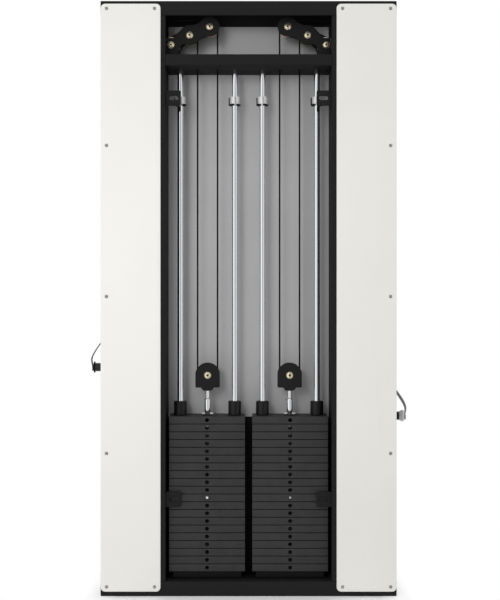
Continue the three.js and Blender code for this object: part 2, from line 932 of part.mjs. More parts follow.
// From where it peels off the standing cable, round the carriage's two pulleys to the ball.
function carriageCable() {
  const stops = [
    { place: new THREE.Vector2(0, sleeveLength), radius: 0 },
    { place: new THREE.Vector2(sheavePitch, sheavePitch), radius: sheavePitch },
    { place: new THREE.Vector2(frontSheaveY, -sheavePitch), radius: -sheavePitch },
    { place: new THREE.Vector2(handleReach, ballMiddle), radius: 0 },
  ];
  const free = reeve(stops).filter((point) => point.x > 2 * cableRadius + fitGap);
  const run = cableTube(free.map((point) => new THREE.Vector3(0, point.x, point.y)));
  const ball = new THREE.SphereGeometry(ballRadius, smallSides, smallSides / 2);
  ball.rotateX(Math.PI / 2).translate(0, handleReach, ballMiddle);
  return join(run, ball, swivelFork().translate(0, handleReach, handlePivot));
}

// Two ears under the ball with a pin across them, which the handle's ring swings on.
function swivelFork() {
  const inside = ringThickness / 2 + runGap;
  const outside = inside + forkEar;
  const top = ballMiddle - handlePivot - ballRadius + forkEar;
  const ears = [[-outside, -inside], [inside, outside]].map((range) =>
    block(range, around(0, forkHalfWidth), [-forkHalfWidth, top]),
  );
  return join(...ears, bar("x", forkPinRadius, around(0, outside), smallSides));
}

// Carriage
function carriageCheek() {
  const radius = bracketDisc;
  const tail = new THREE.Vector2(sheavePitch, sheavePitch);
  const nose = new THREE.Vector2(frontSheaveY, -sheavePitch);
  const side = nose.clone().sub(tail).angle() + Math.PI / 2;
  const shape = new THREE.Shape();
  shape.absarc(tail.x, tail.y, radius, side, side + Math.PI, false);
  shape.absarc(nose.x, nose.y, radius, side + Math.PI, side + 2 * Math.PI, false);
  return shape;
}

function carriageBody() {
  const inner = sleeveOuter - sleeveWall;
  const half = sleeveLength / 2;
  const sleeve = block(around(railX, sleeveOuter), around(railY, sleeveOuter), around(0, half));
  const bore = block(around(railX, inner), around(railY, inner), around(0, half + overrun));
  const boss = bar(
    "y",
    plungerBossRadius,
    [railY + sleeveOuter - joinDepth, railY + sleeveOuter + plungerBossLength],
    smallSides,
  ).translate(railX, 0, 0);
  const pinBore = bar(
    "y",
    pinRadius + runGap,
    [railY + inner - overrun, railY + sleeveOuter + plungerBossLength + overrun],
    smallSides,
  ).translate(railX, 0, 0);
  const reach = [railX + sleeveOuter - joinDepth, columnCableX - cheekGap / 2 - cheekPlate / 2];
  const arm = prism(
    "y",
    polygon([
      [reach[0], -armSleeveHalf],
      [reach[1], -armCheekBottom],
      [reach[1], armCheekTop],
      [reach[0], armSleeveHalf],
    ]),
    around(railY, armThickness / 2),
  );
  const inside = cheekGap / 2;
  const cheeks = [[-cheekHalf, -inside], [inside, cheekHalf]].map(([from, to]) =>
    prism("x", carriageCheek(), [columnCableX + from, columnCableX + to]),
  );
  const bolts = [[sheavePitch, sheavePitch], [frontSheaveY, -sheavePitch]].map(([y, z]) =>
    pulleyBolt(cheekGap, cheekPlate).rotateZ(Math.PI / 2).translate(columnCableX, y, z),
  );
  return join(cut(join(sleeve, boss), bore, pinBore), arm, ...cheeks, ...bolts);
}

// Spring pin with a pull knob, drawn back and parked just clear of the rail. It goes in by
// its stroke, through the sleeve and a notch of the rail, until its collar is at the boss.
function plunger() {
  const tip = railY + railSize / 2 + runGap;
  const bossFace = railY + sleeveOuter + plungerBossLength + fitGap + plungerStroke;
  const waist = plungerKnobRadius / 2;
  return turned(
    "y",
    [
      [0, tip],
      [pinRadius - pinPoint, tip],
      [pinRadius, tip + pinPoint],
      [pinRadius, bossFace],
      [waist, bossFace],
      [waist, bossFace + plungerNeckLength],
      [plungerKnobRadius, bossFace + plungerNeckLength + pinPoint],
      [plungerKnobRadius, bossFace + plungerKnobLength],
      [plungerKnobRadius - pinPoint, bossFace + plungerKnobLength + pinPoint],
      [0, bossFace + plungerKnobLength + pinPoint],
    ],
    smallSides,
  );
}

// Handle, with its origin on the swivel pin that it hangs from
function strapCentreLine() {
  const half = new THREE.SplineCurve([
    new THREE.Vector2(0, strapRise),
    new THREE.Vector2(strapBrow, strapBrowRise),
    new THREE.Vector2(strapShoulder, strapShoulderRise),
    new THREE.Vector2(strapBulge, strapBulgeRise),
    new THREE.Vector2(strapFootReach, 0),
    new THREE.Vector2(strapFootReach, -strapFootDrop),
  ]).getPoints(roundSides / 2);
  const mirrored = half.slice(1).map((point) => new THREE.Vector2(-point.x, point.y));
  return [...mirrored.reverse(), ...half];
}

function band(line, thickness) {
  const edge = (side) =>
    line.map((point, index) => {
      const before = line[Math.max(index - 1, 0)];
      const after = line[Math.min(index + 1, line.length - 1)];
      const normal = leftOf(after.clone().sub(before).angle());
      return point.clone().addScaledVector(normal, (side * thickness) / 2);
    });
  return new THREE.Shape([...edge(-1), ...edge(1).reverse()]);
}

function handleRing() {
  const low = -gripDrop + strapRise - strapThickness / 2 - ringThickness;
  const wire = ringThickness;
  const outline = polygon([
    [-ringHalfWidth, low],
    [ringHalfWidth, low],
    [ringHalfWidth, low + ringHalfWidth],
    [ringHeadRadius, 0],
    [-ringHeadRadius, 0],
    [-ringHalfWidth, low + ringHalfWidth],
  ]);
  outline.holes.push(
    polygon([
      [-ringHalfWidth + wire, low + wire],
      [-ringHalfWidth + wire, low + ringHalfWidth],
      [0, -wire - ringHeadRadius],
      [ringHalfWidth - wire, low + ringHalfWidth],
      [ringHalfWidth - wire, low + wire],
    ]),
  );
  const ring = prism("x", outline, around(0, ringThickness / 2));
  const head = bar("x", ringHeadRadius, around(0, ringThickness / 2), roundSides);
  const eye = bar("x", forkPinRadius + runGap, around(0, ringThickness), smallSides);
  return cut(join(ring, head), eye);
}

function handleStrap() {
  const line = band(strapCentreLine(), strapThickness);
  const strap = prism("y", line, around(0, strapWidth / 2));
  strap.translate(0, 0, -gripDrop - joinDepth / 2);
  const core = bar("x", coreRadius, around(0, strapFootReach), smallSides);
  return join(strap, handleRing(), core.translate(0, 0, -gripDrop));
}

function grip() {
  const bore = coreRadius + gripBoreGap;
  const shoulder = gripHalfLength - gripFlangeWidth;
  return turned(
    "x",
    [
      [bore, -gripHalfLength],
      [gripFlangeRadius, -gripHalfLength],
      [gripFlangeRadius, -shoulder],
      [gripRadius, -shoulder],
      [gripRadius, shoulder],
      [gripFlangeRadius, shoulder],
      [gripFlangeRadius, gripHalfLength],
      [bore, gripHalfLength],
      [bore, -gripHalfLength],
    ],
    roundSides,
  );
}

// One side of the unit, built for +X
function stackPieces(side) {
  const pinZ = plateMiddle(restingCount);
  const floatingWheel = sheave(floatPitch, floatFlange, roundSides);
  return [
    piece(side + "_inner_guide_rod", guideRod(), chrome, [rodXs[0], 0, 0]),
    piece(side + "_outer_guide_rod", guideRod(), chrome, [rodXs[1], 0, 0]),
    piece(side + "_stack_cushion", stackCushion(), blackRubber, [stackX, 0, 0]),
    piece(side + "_resting_plates", platePile(0, restingCount), plateGrey, [stackX, 0, 0]),
    piece(
      side + "_selected_plates",
      platePile(restingCount, plateCount - restingCount - 1),
      plateGrey,
      [stackX, 0, 0],
    ),
    piece(side + "_top_plate", topPlate(), plateGrey, [stackX, 0, 0]),
    piece(side + "_selector_stem", selectorStem(), chrome, [stackX, 0, 0]),
    piece(side + "_selector_pin", selectorPin(), knobBlack, [stackX, 0, pinZ]),
    piece(side + "_pulley_yoke", pulleyYoke(), frameBlack, [stackX, 0, floatZ]),
    piece(side + "_floating_sheave", floatingWheel, sheaveGold, [stackX, 0, floatZ]),
  ];
}

function pulleyPieces(side) {
  const places = {
    inner_top_sheave: innerSheave,
    middle_top_sheave: middleSheave,
    outer_top_sheave: outerSheave,
    column_top_sheave: upperSheave,
    column_bottom_sheave: lowerSheave,
  };
  const wheel = sheave(sheavePitch, sheaveFlange, roundSides);
  const sheaves = Object.entries(places).map(([name, place]) =>
    piece(side + "_" + name, wheel, sheaveGold, [place.x, 0, place.y]),
  );
  return [
    piece(side + "_pulley_bracket", pulleyBracket(), frameBlack),
    ...sheaves,
    piece(side + "_lift_cable", liftCable(), cableBlack),
    piece(side + "_standing_cable", standingCable(), cableBlack),
  ];
}

function carriagePieces(side) {
  const wheel = sheave(sheavePitch, sheaveFlange, roundSides).rotateZ(Math.PI / 2);
  const handle = new THREE.Group();
  handle.position.set(columnCableX, handleReach, handlePivot);
  handle.add(piece(side + "_handle_strap", handleStrap(), strapGrey));
  handle.add(piece(side + "_handle_grip", grip(), blackRubber, [0, 0, -gripDrop]));
  const innerPlace = [columnCableX, sheavePitch, sheavePitch];
  const frontPlace = [columnCableX, frontSheaveY, -sheavePitch];
  return [
    piece(side + "_carriage", carriageBody(), frameBlack),
    piece(side + "_plunger", plunger(), knobBlack, [railX, 0, 0]),
    piece(side + "_carriage_inner_sheave", wheel, sheaveGold, innerPlace),
    piece(side + "_carriage_front_sheave", wheel, sheaveGold, frontPlace),
    piece(side + "_carriage_cable", carriageCable(), cableBlack, [columnCableX, 0, 0]),
    handle,
  ];
}

function half(side, notch) {
  const group = new THREE.Group();
  group.add(piece(side + "_column", column(), frameBlack));
  group.add(piece(side + "_rear_cover", rearCover(), coverWhite));
  group.add(...stackPieces(side), ...pulleyPieces(side));
  const carriage = new THREE.Group();
  carriage.position.z = notchHeight(notch);
  carriage.add(...carriagePieces(side));
  group.add(carriage);
  return group;
}

function buildUnit() {
  const unit = new THREE.Group();
  unit.add(
    piece("base_beam", baseBeam(), frameBlack),
    piece("top_beam", topBeam(), frameBlack),
    piece("middle_beam", middleBeam(), frameBlack),
    piece("upper_front_panel", upperPanel(), panelGrey),
    piece("lower_front_panel", lowerPanel(), frameBlack),
  );
  const left = half("left", leftNotchCount);
  left.scale.x = -1;
  unit.add(left, half("right", rightNotchCount));
  return unit;
}

const unit = buildUnit();

export default unit;
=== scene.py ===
"""Looks of the twin weight stack and pulley unit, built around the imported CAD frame."""

from math import acos, asin, atan2, ceil, cos, dist, pi, radians, sin, sqrt, tau

import bmesh
import bpy
from mathutils import Matrix, Vector


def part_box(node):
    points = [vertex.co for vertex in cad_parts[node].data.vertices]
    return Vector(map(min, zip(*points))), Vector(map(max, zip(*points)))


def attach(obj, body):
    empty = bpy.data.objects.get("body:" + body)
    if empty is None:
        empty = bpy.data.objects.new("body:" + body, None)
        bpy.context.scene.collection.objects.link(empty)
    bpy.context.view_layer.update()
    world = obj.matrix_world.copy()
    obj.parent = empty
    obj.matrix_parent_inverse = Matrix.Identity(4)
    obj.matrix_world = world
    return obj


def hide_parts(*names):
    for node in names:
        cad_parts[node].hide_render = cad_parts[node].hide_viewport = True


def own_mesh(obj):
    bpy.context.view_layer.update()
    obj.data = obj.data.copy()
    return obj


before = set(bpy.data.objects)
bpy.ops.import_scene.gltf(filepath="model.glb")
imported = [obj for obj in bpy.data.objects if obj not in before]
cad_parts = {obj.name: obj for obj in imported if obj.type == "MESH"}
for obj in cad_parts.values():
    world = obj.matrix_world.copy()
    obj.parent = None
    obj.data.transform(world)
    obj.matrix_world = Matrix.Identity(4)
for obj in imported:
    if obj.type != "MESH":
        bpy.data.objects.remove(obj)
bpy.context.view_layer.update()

# The camera stands square to the open rear, at the photograph's height and distance.
IMAGE_HEIGHT = 600
scene = bpy.context.scene
scene.view_settings.view_transform = "Standard"


def placed(name, data):
    made = bpy.data.objects.new(name, data)
    scene.collection.objects.link(made)
    return made


camera = scene.camera = placed("camera", bpy.data.cameras.new("camera"))
camera.location = (0, -3.496, 1.038)
camera.rotation_euler = (pi / 2, 0, 0)
camera.data.sensor_fit = "VERTICAL"
camera.data.sensor_height = 36
camera.data.lens = 58.1
camera.data.shift_x = 1.4 / IMAGE_HEIGHT
camera.data.shift_y = 2.5 / IMAGE_HEIGHT

# Meshes are drawn in millimetres for the right side, and mirrored for the left one.
SIDES = ("left", "right")
METRE = 1000.0
ARC_STEP = radians(6)
SHARP = radians(30)
ROUND = 48  # sides of a turned part


def limits(name):
    """A CAD node's lowest and highest corner in millimetres."""
    low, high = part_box(name)
    return low * METRE, high * METRE


def centre(name):
    return [(low + high) / 2 for low, high in zip(*limits(name))]


# Places, from the CAD nodes of the right side where a node shows them
GAP = 0.3  # between CAD parts that meet
WALL = 3
beam_low, beam_high = limits("base_beam")
REAR, FRONT = beam_low.y, beam_high.y
BEAM_END, BASE_TOP = beam_high.x, beam_high.z
TOP_BEAM_LOW, TOP = (corner.z for corner in limits("top_beam"))
middle_low, middle_high = limits("middle_beam")
MIDDLE_LOW, MIDDLE_TOP = middle_low.z, middle_high.z
COLUMN_IN = middle_high.x + GAP
COLUMN_OUT = BEAM_END - 3.5
COLUMN_LOW, COLUMN_TOP = BASE_TOP + GAP, TOP_BEAM_LOW - GAP
LUGS = (TOP - 341, 340)

RODS = [centre(f"right_{place}_guide_rod")[0] for place in ("inner", "outer")]
ROD_RADIUS = 11
ROD_TOP = limits("right_inner_guide_rod")[1].z
COLLAR_HEIGHT, COLLAR_BORE = 27, ROD_RADIUS + 0.1
COLLAR = ROD_TOP - 127 - COLLAR_HEIGHT
STACK = sum(RODS) / 2
plate_low, plate_high = limits("right_top_plate")
HALF_WIDTH = (plate_high.x - plate_low.x) / 2
HALF_DEPTH = plate_high.y
PITCH = 27.65
PLATES, RESTING = 20, 9
STACK_LOW = 80
STACK_TOP = STACK_LOW + PLATES * PITCH
SEAM = 1.15  # from a plate's face to the middle of the gap
BORE_RADIUS = 11.6
PIN_HOLE = 7

CABLE = 3
GROOVE, RIM = 28, 31.6
FLOAT_GROOVE, FLOAT_RIM = 36, 41
CHEEK = (9.5, 13.5)  # a yoke's or carriage's cheek, from the wheel's middle
BRACKET_CHEEK = (16, 20)
YOKE_DOME = 44.5
FLOAT = limits("right_pulley_yoke")[1].z - YOKE_DOME
STRANDS = [STACK - FLOAT_GROOVE, STACK + FLOAT_GROOVE]
WHEELS = {
    name: Vector(centre(f"right_{name}_sheave")[::2])
    for name in ("inner_top", "middle_top", "outer_top", "column_top", "column_bottom")
}
INNER, MIDDLE, OUTER, COLUMN_UPPER, COLUMN_LOWER = WHEELS.values()
CABLE_X = COLUMN_UPPER.x + GROOVE


def at_wheels(*wheels):
    return [(wheel.x, 0, wheel.y) for wheel in wheels]


RAIL = Vector((369, 107))
RAIL_LOW, RAIL_TOP = 150, 2000
RAIL_HALF = 25
FIRST_NOTCH, NOTCH_PITCH, NOTCH_COUNT = 438, 61, 24
NOTCHES = [FIRST_NOTCH + NOTCH_PITCH * k for k in range(NOTCH_COUNT)]


# Mesh tools
def lay(axis, u, v, along):
    """A point drawn at u, v on the plane across an axis."""
    return {"x": (along, u, v), "y": (u, along, v), "z": (u, v, along)}[axis]


def without_repeats(points):
    kept = []
    for point in points:
        if not kept or dist(point, kept[-1]) > 1e-3:
            kept.append(tuple(point))
    if dist(kept[0], kept[-1]) < 1e-3:
        kept.pop()
    return kept


def bevelled(mesh, edges, size, steps):
    bmesh.ops.bevel(
        mesh, geom=edges, offset=size, offset_type="OFFSET", segments=steps, profile=0.5,
        affect="EDGES", clamp_overlap=True,
    )
    return mesh


def prism(outline, span, axis="y", bevel=0.0, steps=2, holes=()):
    """An outline pushed along an axis: drawn in x, z for y, in y, z for x, in x, y for z."""
    mesh = bmesh.new()
    ends = ([], [])
    for loop in (outline, *holes):
        loop = without_repeats(loop)
        for end, along in zip(ends, span):
            end.append([mesh.verts.new(lay(axis, u, v, along)) for u, v in loop])
        low, high = ends[0][-1], ends[1][-1]
        for i in range(len(loop)):
            mesh.faces.new((low[i - 1], low[i], high[i], high[i - 1]))
    for loops in ends:
        if holes:
            pairs = [(loop[i - 1], loop[i]) for loop in loops for i in range(len(loop))]
            edges = [mesh.edges.get(pair) for pair in pairs]
            bmesh.ops.triangle_fill(mesh, use_beauty=True, edges=edges)
        else:
            mesh.faces.new(loops[0])
    bmesh.ops.recalc_face_normals(mesh, faces=mesh.faces)
    if not bevel:
        return mesh
    sharp = [e for e in mesh.edges if len(e.link_faces) == 2 and e.calc_face_angle(0) > SHARP]
    return bevelled(mesh, sharp, bevel, steps)


def block(xs, ys, zs, bevel=0.0, steps=2):
    outline = [(xs[0], ys[0]), (xs[1], ys[0]), (xs[1], ys[1]), (xs[0], ys[1])]
    return prism(outline, zs, "z", bevel, steps)


def turned(profile, axis="z", sides=ROUND):
    """A profile of (radius, place) turned about an axis. A radius may depend on the angle, and
    a profile that starts off the axis closes to a ring."""
    mesh = bmesh.new()
    rings = []
    for radius, along in profile:
        rings.append([])
        for k in range(sides if radius else 1):
            angle = tau * k / sides
            reach = radius(angle) if callable(radius) else radius
            point = lay(axis, reach * cos(angle), reach * sin(angle), along)
            rings[-1].append(mesh.verts.new(point))
    if profile[0][0]:
        rings.append(rings[0])
    for one, other in zip(rings, rings[1:]):
        for k in range(sides):
            turns = ((one, k - 1), (one, k), (other, k), (other, k - 1))
            corners = [ring[turn % len(ring)] for ring, turn in turns]
            mesh.faces.new(list(dict.fromkeys(corners)))
    bmesh.ops.recalc_face_normals(mesh, faces=mesh.faces)
    return mesh


def flipped(profile):
    return [(radius, -along) for radius, along in profile]


def hexagon(across):
    """The radius of a hexagon of this width across its flats, at an angle."""
    side = tau / 6
    return lambda angle: across / 2 / cos((angle % side) - side / 2)


def fluted(radius, count, depth):
    return lambda angle: radius - depth * (0.5 - 0.5 * cos(count * angle))


def swept(frames, section):
    """A closed section carried along frames of (place, across, outwards), UVs in millimetres."""
    mesh = bmesh.new()
    layer = mesh.loops.layers.uv.new("length")
    rings = [
        [mesh.verts.new(place + across * u + outwards * v) for u, v in section]
        for place, across, outwards in frames
    ]
    girth = [0.0]
    for i in range(len(section)):
        girth.append(girth[-1] + dist(section[i - 1], section[i]))
    run = 0.0
    for here, there, one, other in zip(frames, frames[1:], rings, rings[1:]):
        ahead = run + (there[0] - here[0]).length
        for i in range(len(section)):
            face = mesh.faces.new((one[i - 1], one[i], other[i], other[i - 1]))
            near, far = girth[i], girth[i + 1]
            corners = [(near, run), (far, run), (far, ahead), (near, ahead)]
            for loop, corner in zip(face.loops, corners):
                loop[layer].uv = corner
        run = ahead
    mesh.faces.new(rings[0])
    mesh.faces.new(rings[-1])
    bmesh.ops.recalc_face_normals(mesh, faces=mesh.faces)
    return mesh


def on_circle(middle, radius, turns):
    return [(middle[0] + radius * cos(a), middle[1] + radius * sin(a)) for a in turns]


def circle(middle, radius, sides):
    return on_circle(middle, radius, [tau * k / sides for k in range(sides)])


def tube(points, radius, sides=14):
    points = [Vector(point) for point in points]
    last = len(points) - 1
    frames = []
    across = None
    for i, point in enumerate(points):
        heading = (points[min(i + 1, last)] - points[max(i - 1, 0)]).normalized()
        if across is None:
            across = heading.orthogonal()
        across = (across - heading * across.dot(heading)).normalized()
        frames.append((point, across, heading.cross(across)))
    return swept(frames, circle((0, 0), radius, sides))


def moved(mesh, x=0.0, y=0.0, z=0.0):
    bmesh.ops.translate(mesh, vec=(x, y, z), verts=mesh.verts)
    return mesh


def spun(mesh, axis, degrees):
    turn = Matrix.Rotation(radians(degrees), 3, axis)
    bmesh.ops.rotate(mesh, cent=(0, 0, 0), matrix=turn, verts=mesh.verts)
    return mesh


def bar(radius, span, axis="z", at=(0, 0, 0), sides=ROUND, chamfer=0):
    """A round bar, or the tool for a bore."""
    end, (low, high) = radius - chamfer, span
    profile = [(0, low), (end, low), (radius, low + chamfer), (radius, high - chamfer)]
    profile = without_repeats([*profile, (end, high), (0, high)])
    return moved(turned(profile, axis, sides), *at)


def as_data(mesh, name="part"):
    data = bpy.data.meshes.new(name)
    mesh.to_mesh(data)
    mesh.free()
    return data


def joined(*parts):
    whole = bmesh.new()
    for part in parts:
        data = as_data(part)
        whole.from_mesh(data)
        bpy.data.meshes.remove(data)
    return whole


def copies(mesh, places):
    """The mesh at each place, as one mesh."""
    data = as_data(mesh)
    whole = bmesh.new()
    for place in places:
        first = len(whole.verts)
        whole.from_mesh(data)
        whole.verts.ensure_lookup_table()
        bmesh.ops.translate(whole, vec=place, verts=whole.verts[first:])
    bpy.data.meshes.remove(data)
    return whole


def carved(mesh, *tools):
    """The mesh less each tool."""
    holders = [placed("scratch", as_data(part)) for part in (mesh, *tools)]
    for tool in holders[1:]:
        cut = holders[0].modifiers.new("cut", "BOOLEAN")
        cut.operation = "DIFFERENCE"
        cut.solver = "EXACT"
        cut.object = tool
    graph = bpy.context.evaluated_depsgraph_get()
    result = bmesh.new()
    result.from_mesh(holders[0].evaluated_get(graph).data)
    for holder in holders:
        data = holder.data
        bpy.data.objects.remove(holder)
        bpy.data.meshes.remove(data)
    return result


def arc(middle, radius, start, end, clockwise=False):
    """Points on a circle between two angles in radians."""
    sweep = (end - start) % tau
    if clockwise:
        sweep -= tau
    count = max(2, ceil(abs(sweep) / ARC_STEP))
    return on_circle(middle, radius, [start + sweep * k / count for k in range(count + 1)])


def rounded(xs, ys, radius):
    """A rectangle with round corners."""
    quarter = pi / 2
    left, right = xs[0] + radius, xs[1] - radius
    low, high = ys[0] + radius, ys[1] - radius
    points = []
    for turn, corner in enumerate([(right, high), (left, high), (left, low), (right, low)]):
        points += arc(corner, radius, turn * quarter, (turn + 1) * quarter)
    return points


def stadium(xs, ys):
    return rounded(xs, ys, min(xs[1] - xs[0], ys[1] - ys[0]) / 2 - 1e-4)


def quadratic(start, control, end, steps=10):
    points = []
    for k in range(steps + 1):
        t = k / steps
        one, two, three = (1 - t) ** 2, 2 * t * (1 - t), t * t
        points.append(tuple(one * a + two * b + three * c for a, b, c in zip(start, control, end)))
    return points


def around(middle, half):
    return (middle - half, middle + half)


def rail_square(half, radius):
    """A rounded square about the rail's middle."""
    return rounded(around(RAIL.x, half), around(RAIL.y, half), radius)


# Shader nodes
def fill(tree, made, inputs):
    """Sets a node's inputs, each to a value or to another node's output."""
    for name, value in inputs.items():
        if isinstance(value, bpy.types.NodeSocket):
            tree.links.new(value, made.inputs[name])
        else:
            made.inputs[name].default_value = value


def node(tree, kind, inputs=None, output=0, **settings):
    made = tree.nodes.new("ShaderNode" + kind)
    for name, value in settings.items():
        setattr(made, name, value)
    fill(tree, made, inputs or {})
    return made.outputs[output]


def noise(tree, vector, size, detail):
    """Noise with features of a size in millimetres."""
    inputs = {"Vector": vector, "Scale": METRE / size, "Detail": detail}
    return node(tree, "TexNoise", inputs, "Fac")


def spread(tree, value, low, high, from_low=0.3, from_high=0.7):
    inputs = {"Value": value, "From Min": from_low, "From Max": from_high}
    return node(tree, "MapRange", {**inputs, "To Min": low, "To Max": high}, "Result")


def mixed(tree, share, first, second):
    inputs = {0: share, 6: (*first, 1), 7: (*second, 1)}
    return node(tree, "Mix", inputs, 2, data_type="RGBA")


def bumped(tree, height, depth, strength=1.0):
    """A bump of a depth in millimetres."""
    inputs = {"Height": height, "Strength": strength, "Distance": depth / METRE}
    return node(tree, "Bump", inputs, "Normal")


def maths(tree, operation, first, second=0.0):
    return node(tree, "Math", {0: first, 1: second}, operation=operation)


def blended(tree, share, first, second):
    return node(tree, "MixShader", {0: share, 1: first, 2: second})


def axes(tree, coordinates):
    """The X, Y and Z of one kind of texture coordinates."""
    split = tree.nodes.new("ShaderNodeSeparateXYZ")
    tree.links.new(node(tree, "TexCoord", output=coordinates), split.inputs[0])
    return split.outputs


def shader_of(name):
    made = bpy.data.materials.new(name)
    made.use_nodes = True
    return made, made.node_tree, made.node_tree.nodes["Principled BSDF"]


# Looks
def surface(name, colour, roughness, metallic, specular, mottle, mottle_size, grain_size,
            grain_depth, vary=0.06, stretch=(1, 1, 1)):
    """A finish with slow changes of tone and gloss, and a fine grain."""
    made, tree, shader = shader_of(name)
    place = node(tree, "TexCoord", output="Object")
    place = node(tree, "Mapping", {"Vector": place, "Scale": stretch})
    slow = noise(tree, place, mottle_size, 4.0)
    fine = noise(tree, place, grain_size, 3.0)
    dark = tuple(c * (1 - mottle) for c in colour)
    light = tuple(min(c * (1 + mottle), 1.0) for c in colour)
    fill(tree, shader, {
        "Metallic": metallic,
        "Specular IOR Level": specular,
        "Base Color": mixed(tree, spread(tree, slow, 0, 1), dark, light),
        "Roughness": spread(tree, slow, roughness - vary, roughness + vary),
        "Normal": bumped(tree, fine, grain_depth),
    })
    return made


def webbing(name, dark, light):
    """Twill webbing: slanted ribs of yarn along the strap, from the swept UVs in millimetres."""
    made, tree, shader = shader_of(name)
    uv = node(tree, "UVMap", output="UV", uv_map="length")
    heights = []
    for angle, width in ((35, 2.6), (-50, 5.2)):
        turn = node(tree, "Mapping", {"Vector": uv, "Rotation": (0, 0, radians(angle))})
        wave = {"Vector": turn, "Scale": tau / 20 / width, "Distortion": 0.4}
        heights.append(node(tree, "TexWave", wave, "Fac", bands_direction="X"))
    both = maths(tree, "MULTIPLY", *heights)
    fill(tree, shader, {
        "Roughness": 0.85,
        "Specular IOR Level": 0.2,
        "Sheen Weight": 0.25,
        "Base Color": mixed(tree, spread(tree, both, 0, 1, 0.1, 0.8), dark, light),
        "Normal": bumped(tree, both, 0.5, 0.8),
    })
    return made


# Material, slot, colour, roughness, metal, specular, mottle, its size, grain's size and depth,
# and for chrome how far the gloss varies and how the noise is drawn out along the bars
BAR_NOISE = (1, 1, 0.1)
FINISHES = {
    "frame": (
        "powder_black", "frame_black", (0.0115, 0.0116, 0.0119), 0.75, 0, 0.2, 0.12, 180, 1.1, 0.05
    ),
    "cover": (
        "cover_white", "cover_white", (0.855, 0.845, 0.805), 0.42, 0, 0.4, 0.012, 240, 0.9, 0.02
    ),
    "panel": ("panel_grey", "panel_grey", (0.47, 0.47, 0.47), 0.5, 0, 0.3, 0.04, 260, 1.3, 0.03),
    "plate": (
        "plate_paint", "plate_grey", (0.034, 0.034, 0.0345), 0.6, 0, 0.25, 0.12, 45, 2.2, 0.12
    ),
    "chrome": (
        "chrome", "chrome", (0.83, 0.84, 0.86), 0.1, 1, 0.5, 0.03, 40, 0.6, 0.002, 0.03, BAR_NOISE
    ),
    "brass": ("bolt_brass", "bolt_brass", (0.9, 0.8, 0.58), 0.28, 1, 0.5, 0.12, 6, 0.5, 0.01),
    "zinc": ("screw_zinc", "screw_zinc", (0.42, 0.43, 0.43), 0.38, 1, 0.5, 0.15, 5, 0.5, 0.01),
    "steel": ("washer_steel", "chrome", (0.85, 0.85, 0.85), 0.5, 0.6, 0.5, 0.06, 10, 0.6, 0.01),
    "grip": ("grip_rubber", "black_rubber", (0.05, 0.05, 0.051), 0.6, 0, 0.25, 0.2, 12, 0.8, 0.05),
    "rubber": (
        "black_rubber", "black_rubber", (0.006, 0.006, 0.006), 0.6, 0, 0.15, 0.2, 12, 0.8, 0.05
    ),
    "cable": (
        "cable_jacket", "cable_black", (0.004, 0.004, 0.004), 0.5, 0, 0.1, 0.15, 25, 1.5, 0.02
    ),
    "gold": ("sheave_gold", "sheave_gold", (0.85, 0.74, 0.5), 0.4, 0.85, 0.5, 0.1, 15, 0.7, 0.015),
    "knob": ("knob_black", "knob_black", (0.006, 0.006, 0.0065), 0.34, 0, 0.25, 0.1, 20, 0.8, 0.03),
    "thread": ("strap_thread", "strap_grey", (0.33, 0.33, 0.34), 0.8, 0, 0.2, 0.1, 3, 0.4, 0.05),
    "cap": ("cap_grey", "cover_white", (0.93, 0.93, 0.92), 0.45, 0, 0.5, 0.05, 15, 0.8, 0.02),
}
LOOKS = {
    look: (surface(name, *values), slot) for look, (name, slot, *values) in FINISHES.items()
}
LOOKS["strap"] = (webbing("strap_webbing", (0.05, 0.05, 0.053), (0.26, 0.26, 0.27)), "strap_grey")


def put(name, mesh, look, body="frame", nodes=(), mirror=False, crease=30):
    """Shows a mesh drawn in millimetres, riding on a body and standing for CAD nodes."""
    bmesh.ops.scale(mesh, vec=(1 / METRE,) * 3, verts=mesh.verts)
    if mirror:
        bmesh.ops.scale(mesh, vec=(-1, 1, 1), verts=mesh.verts)
        bmesh.ops.reverse_faces(mesh, faces=mesh.faces)
    limit = radians(crease)
    for face in mesh.faces:
        face.smooth = True
    for edge in mesh.edges:
        edge.smooth = len(edge.link_faces) == 2 and edge.calc_face_angle(0) < limit
    made = placed(name, as_data(mesh, name))
    material, slot = LOOKS[look]
    made.data.materials.append(material)
    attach(made, body)
    if nodes:
        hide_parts(*nodes)
    return made


def dresser(side, body="frame", at=(0, 0, 0)):
    """A function that shows pieces of one side on one of its bodies, drawn about a place."""
    rides_on = body if body == "frame" else f"{side}_{body}"

    def dress(name, mesh, look, stands_for=None, crease=30):
        nodes = [f"{side}_{stands_for}"] if stands_for else []
        mesh = moved(mesh, *at)
        return put(f"{side}_{name}", mesh, look, rides_on, nodes, side == "left", crease)

    return dress


# Bolts, screws and wheels, drawn about the middle of a bolt along y
HEAD_RADIUS, HEAD_HEIGHT, HEAD_SOCKET = 11, 5, 7.5


def button_head(radius, height, socket):
    """The profile of a domed head with a hexagon socket, from its seat up."""
    turns = [radians(a) for a in range(0, 61, 12)]
    dome = [(radius * cos(a), height * (0.25 + 0.85 * sin(a))) for a in turns]
    cup = [(hexagon(socket), height * 0.97), (hexagon(socket * 0.94), height * 0.42)]
    return [(0, 0), (radius * 0.97, 0), *dome, *cup, (0, height * 0.34)]


def both_ends(profile, reach, axis="y", sides=36):
    """A profile turned at both ends of an axis, each a reach from the middle."""
    half = [(radius, along + reach) for radius, along in profile]
    return joined(turned(half, axis, sides), turned(flipped(half), axis, sides))


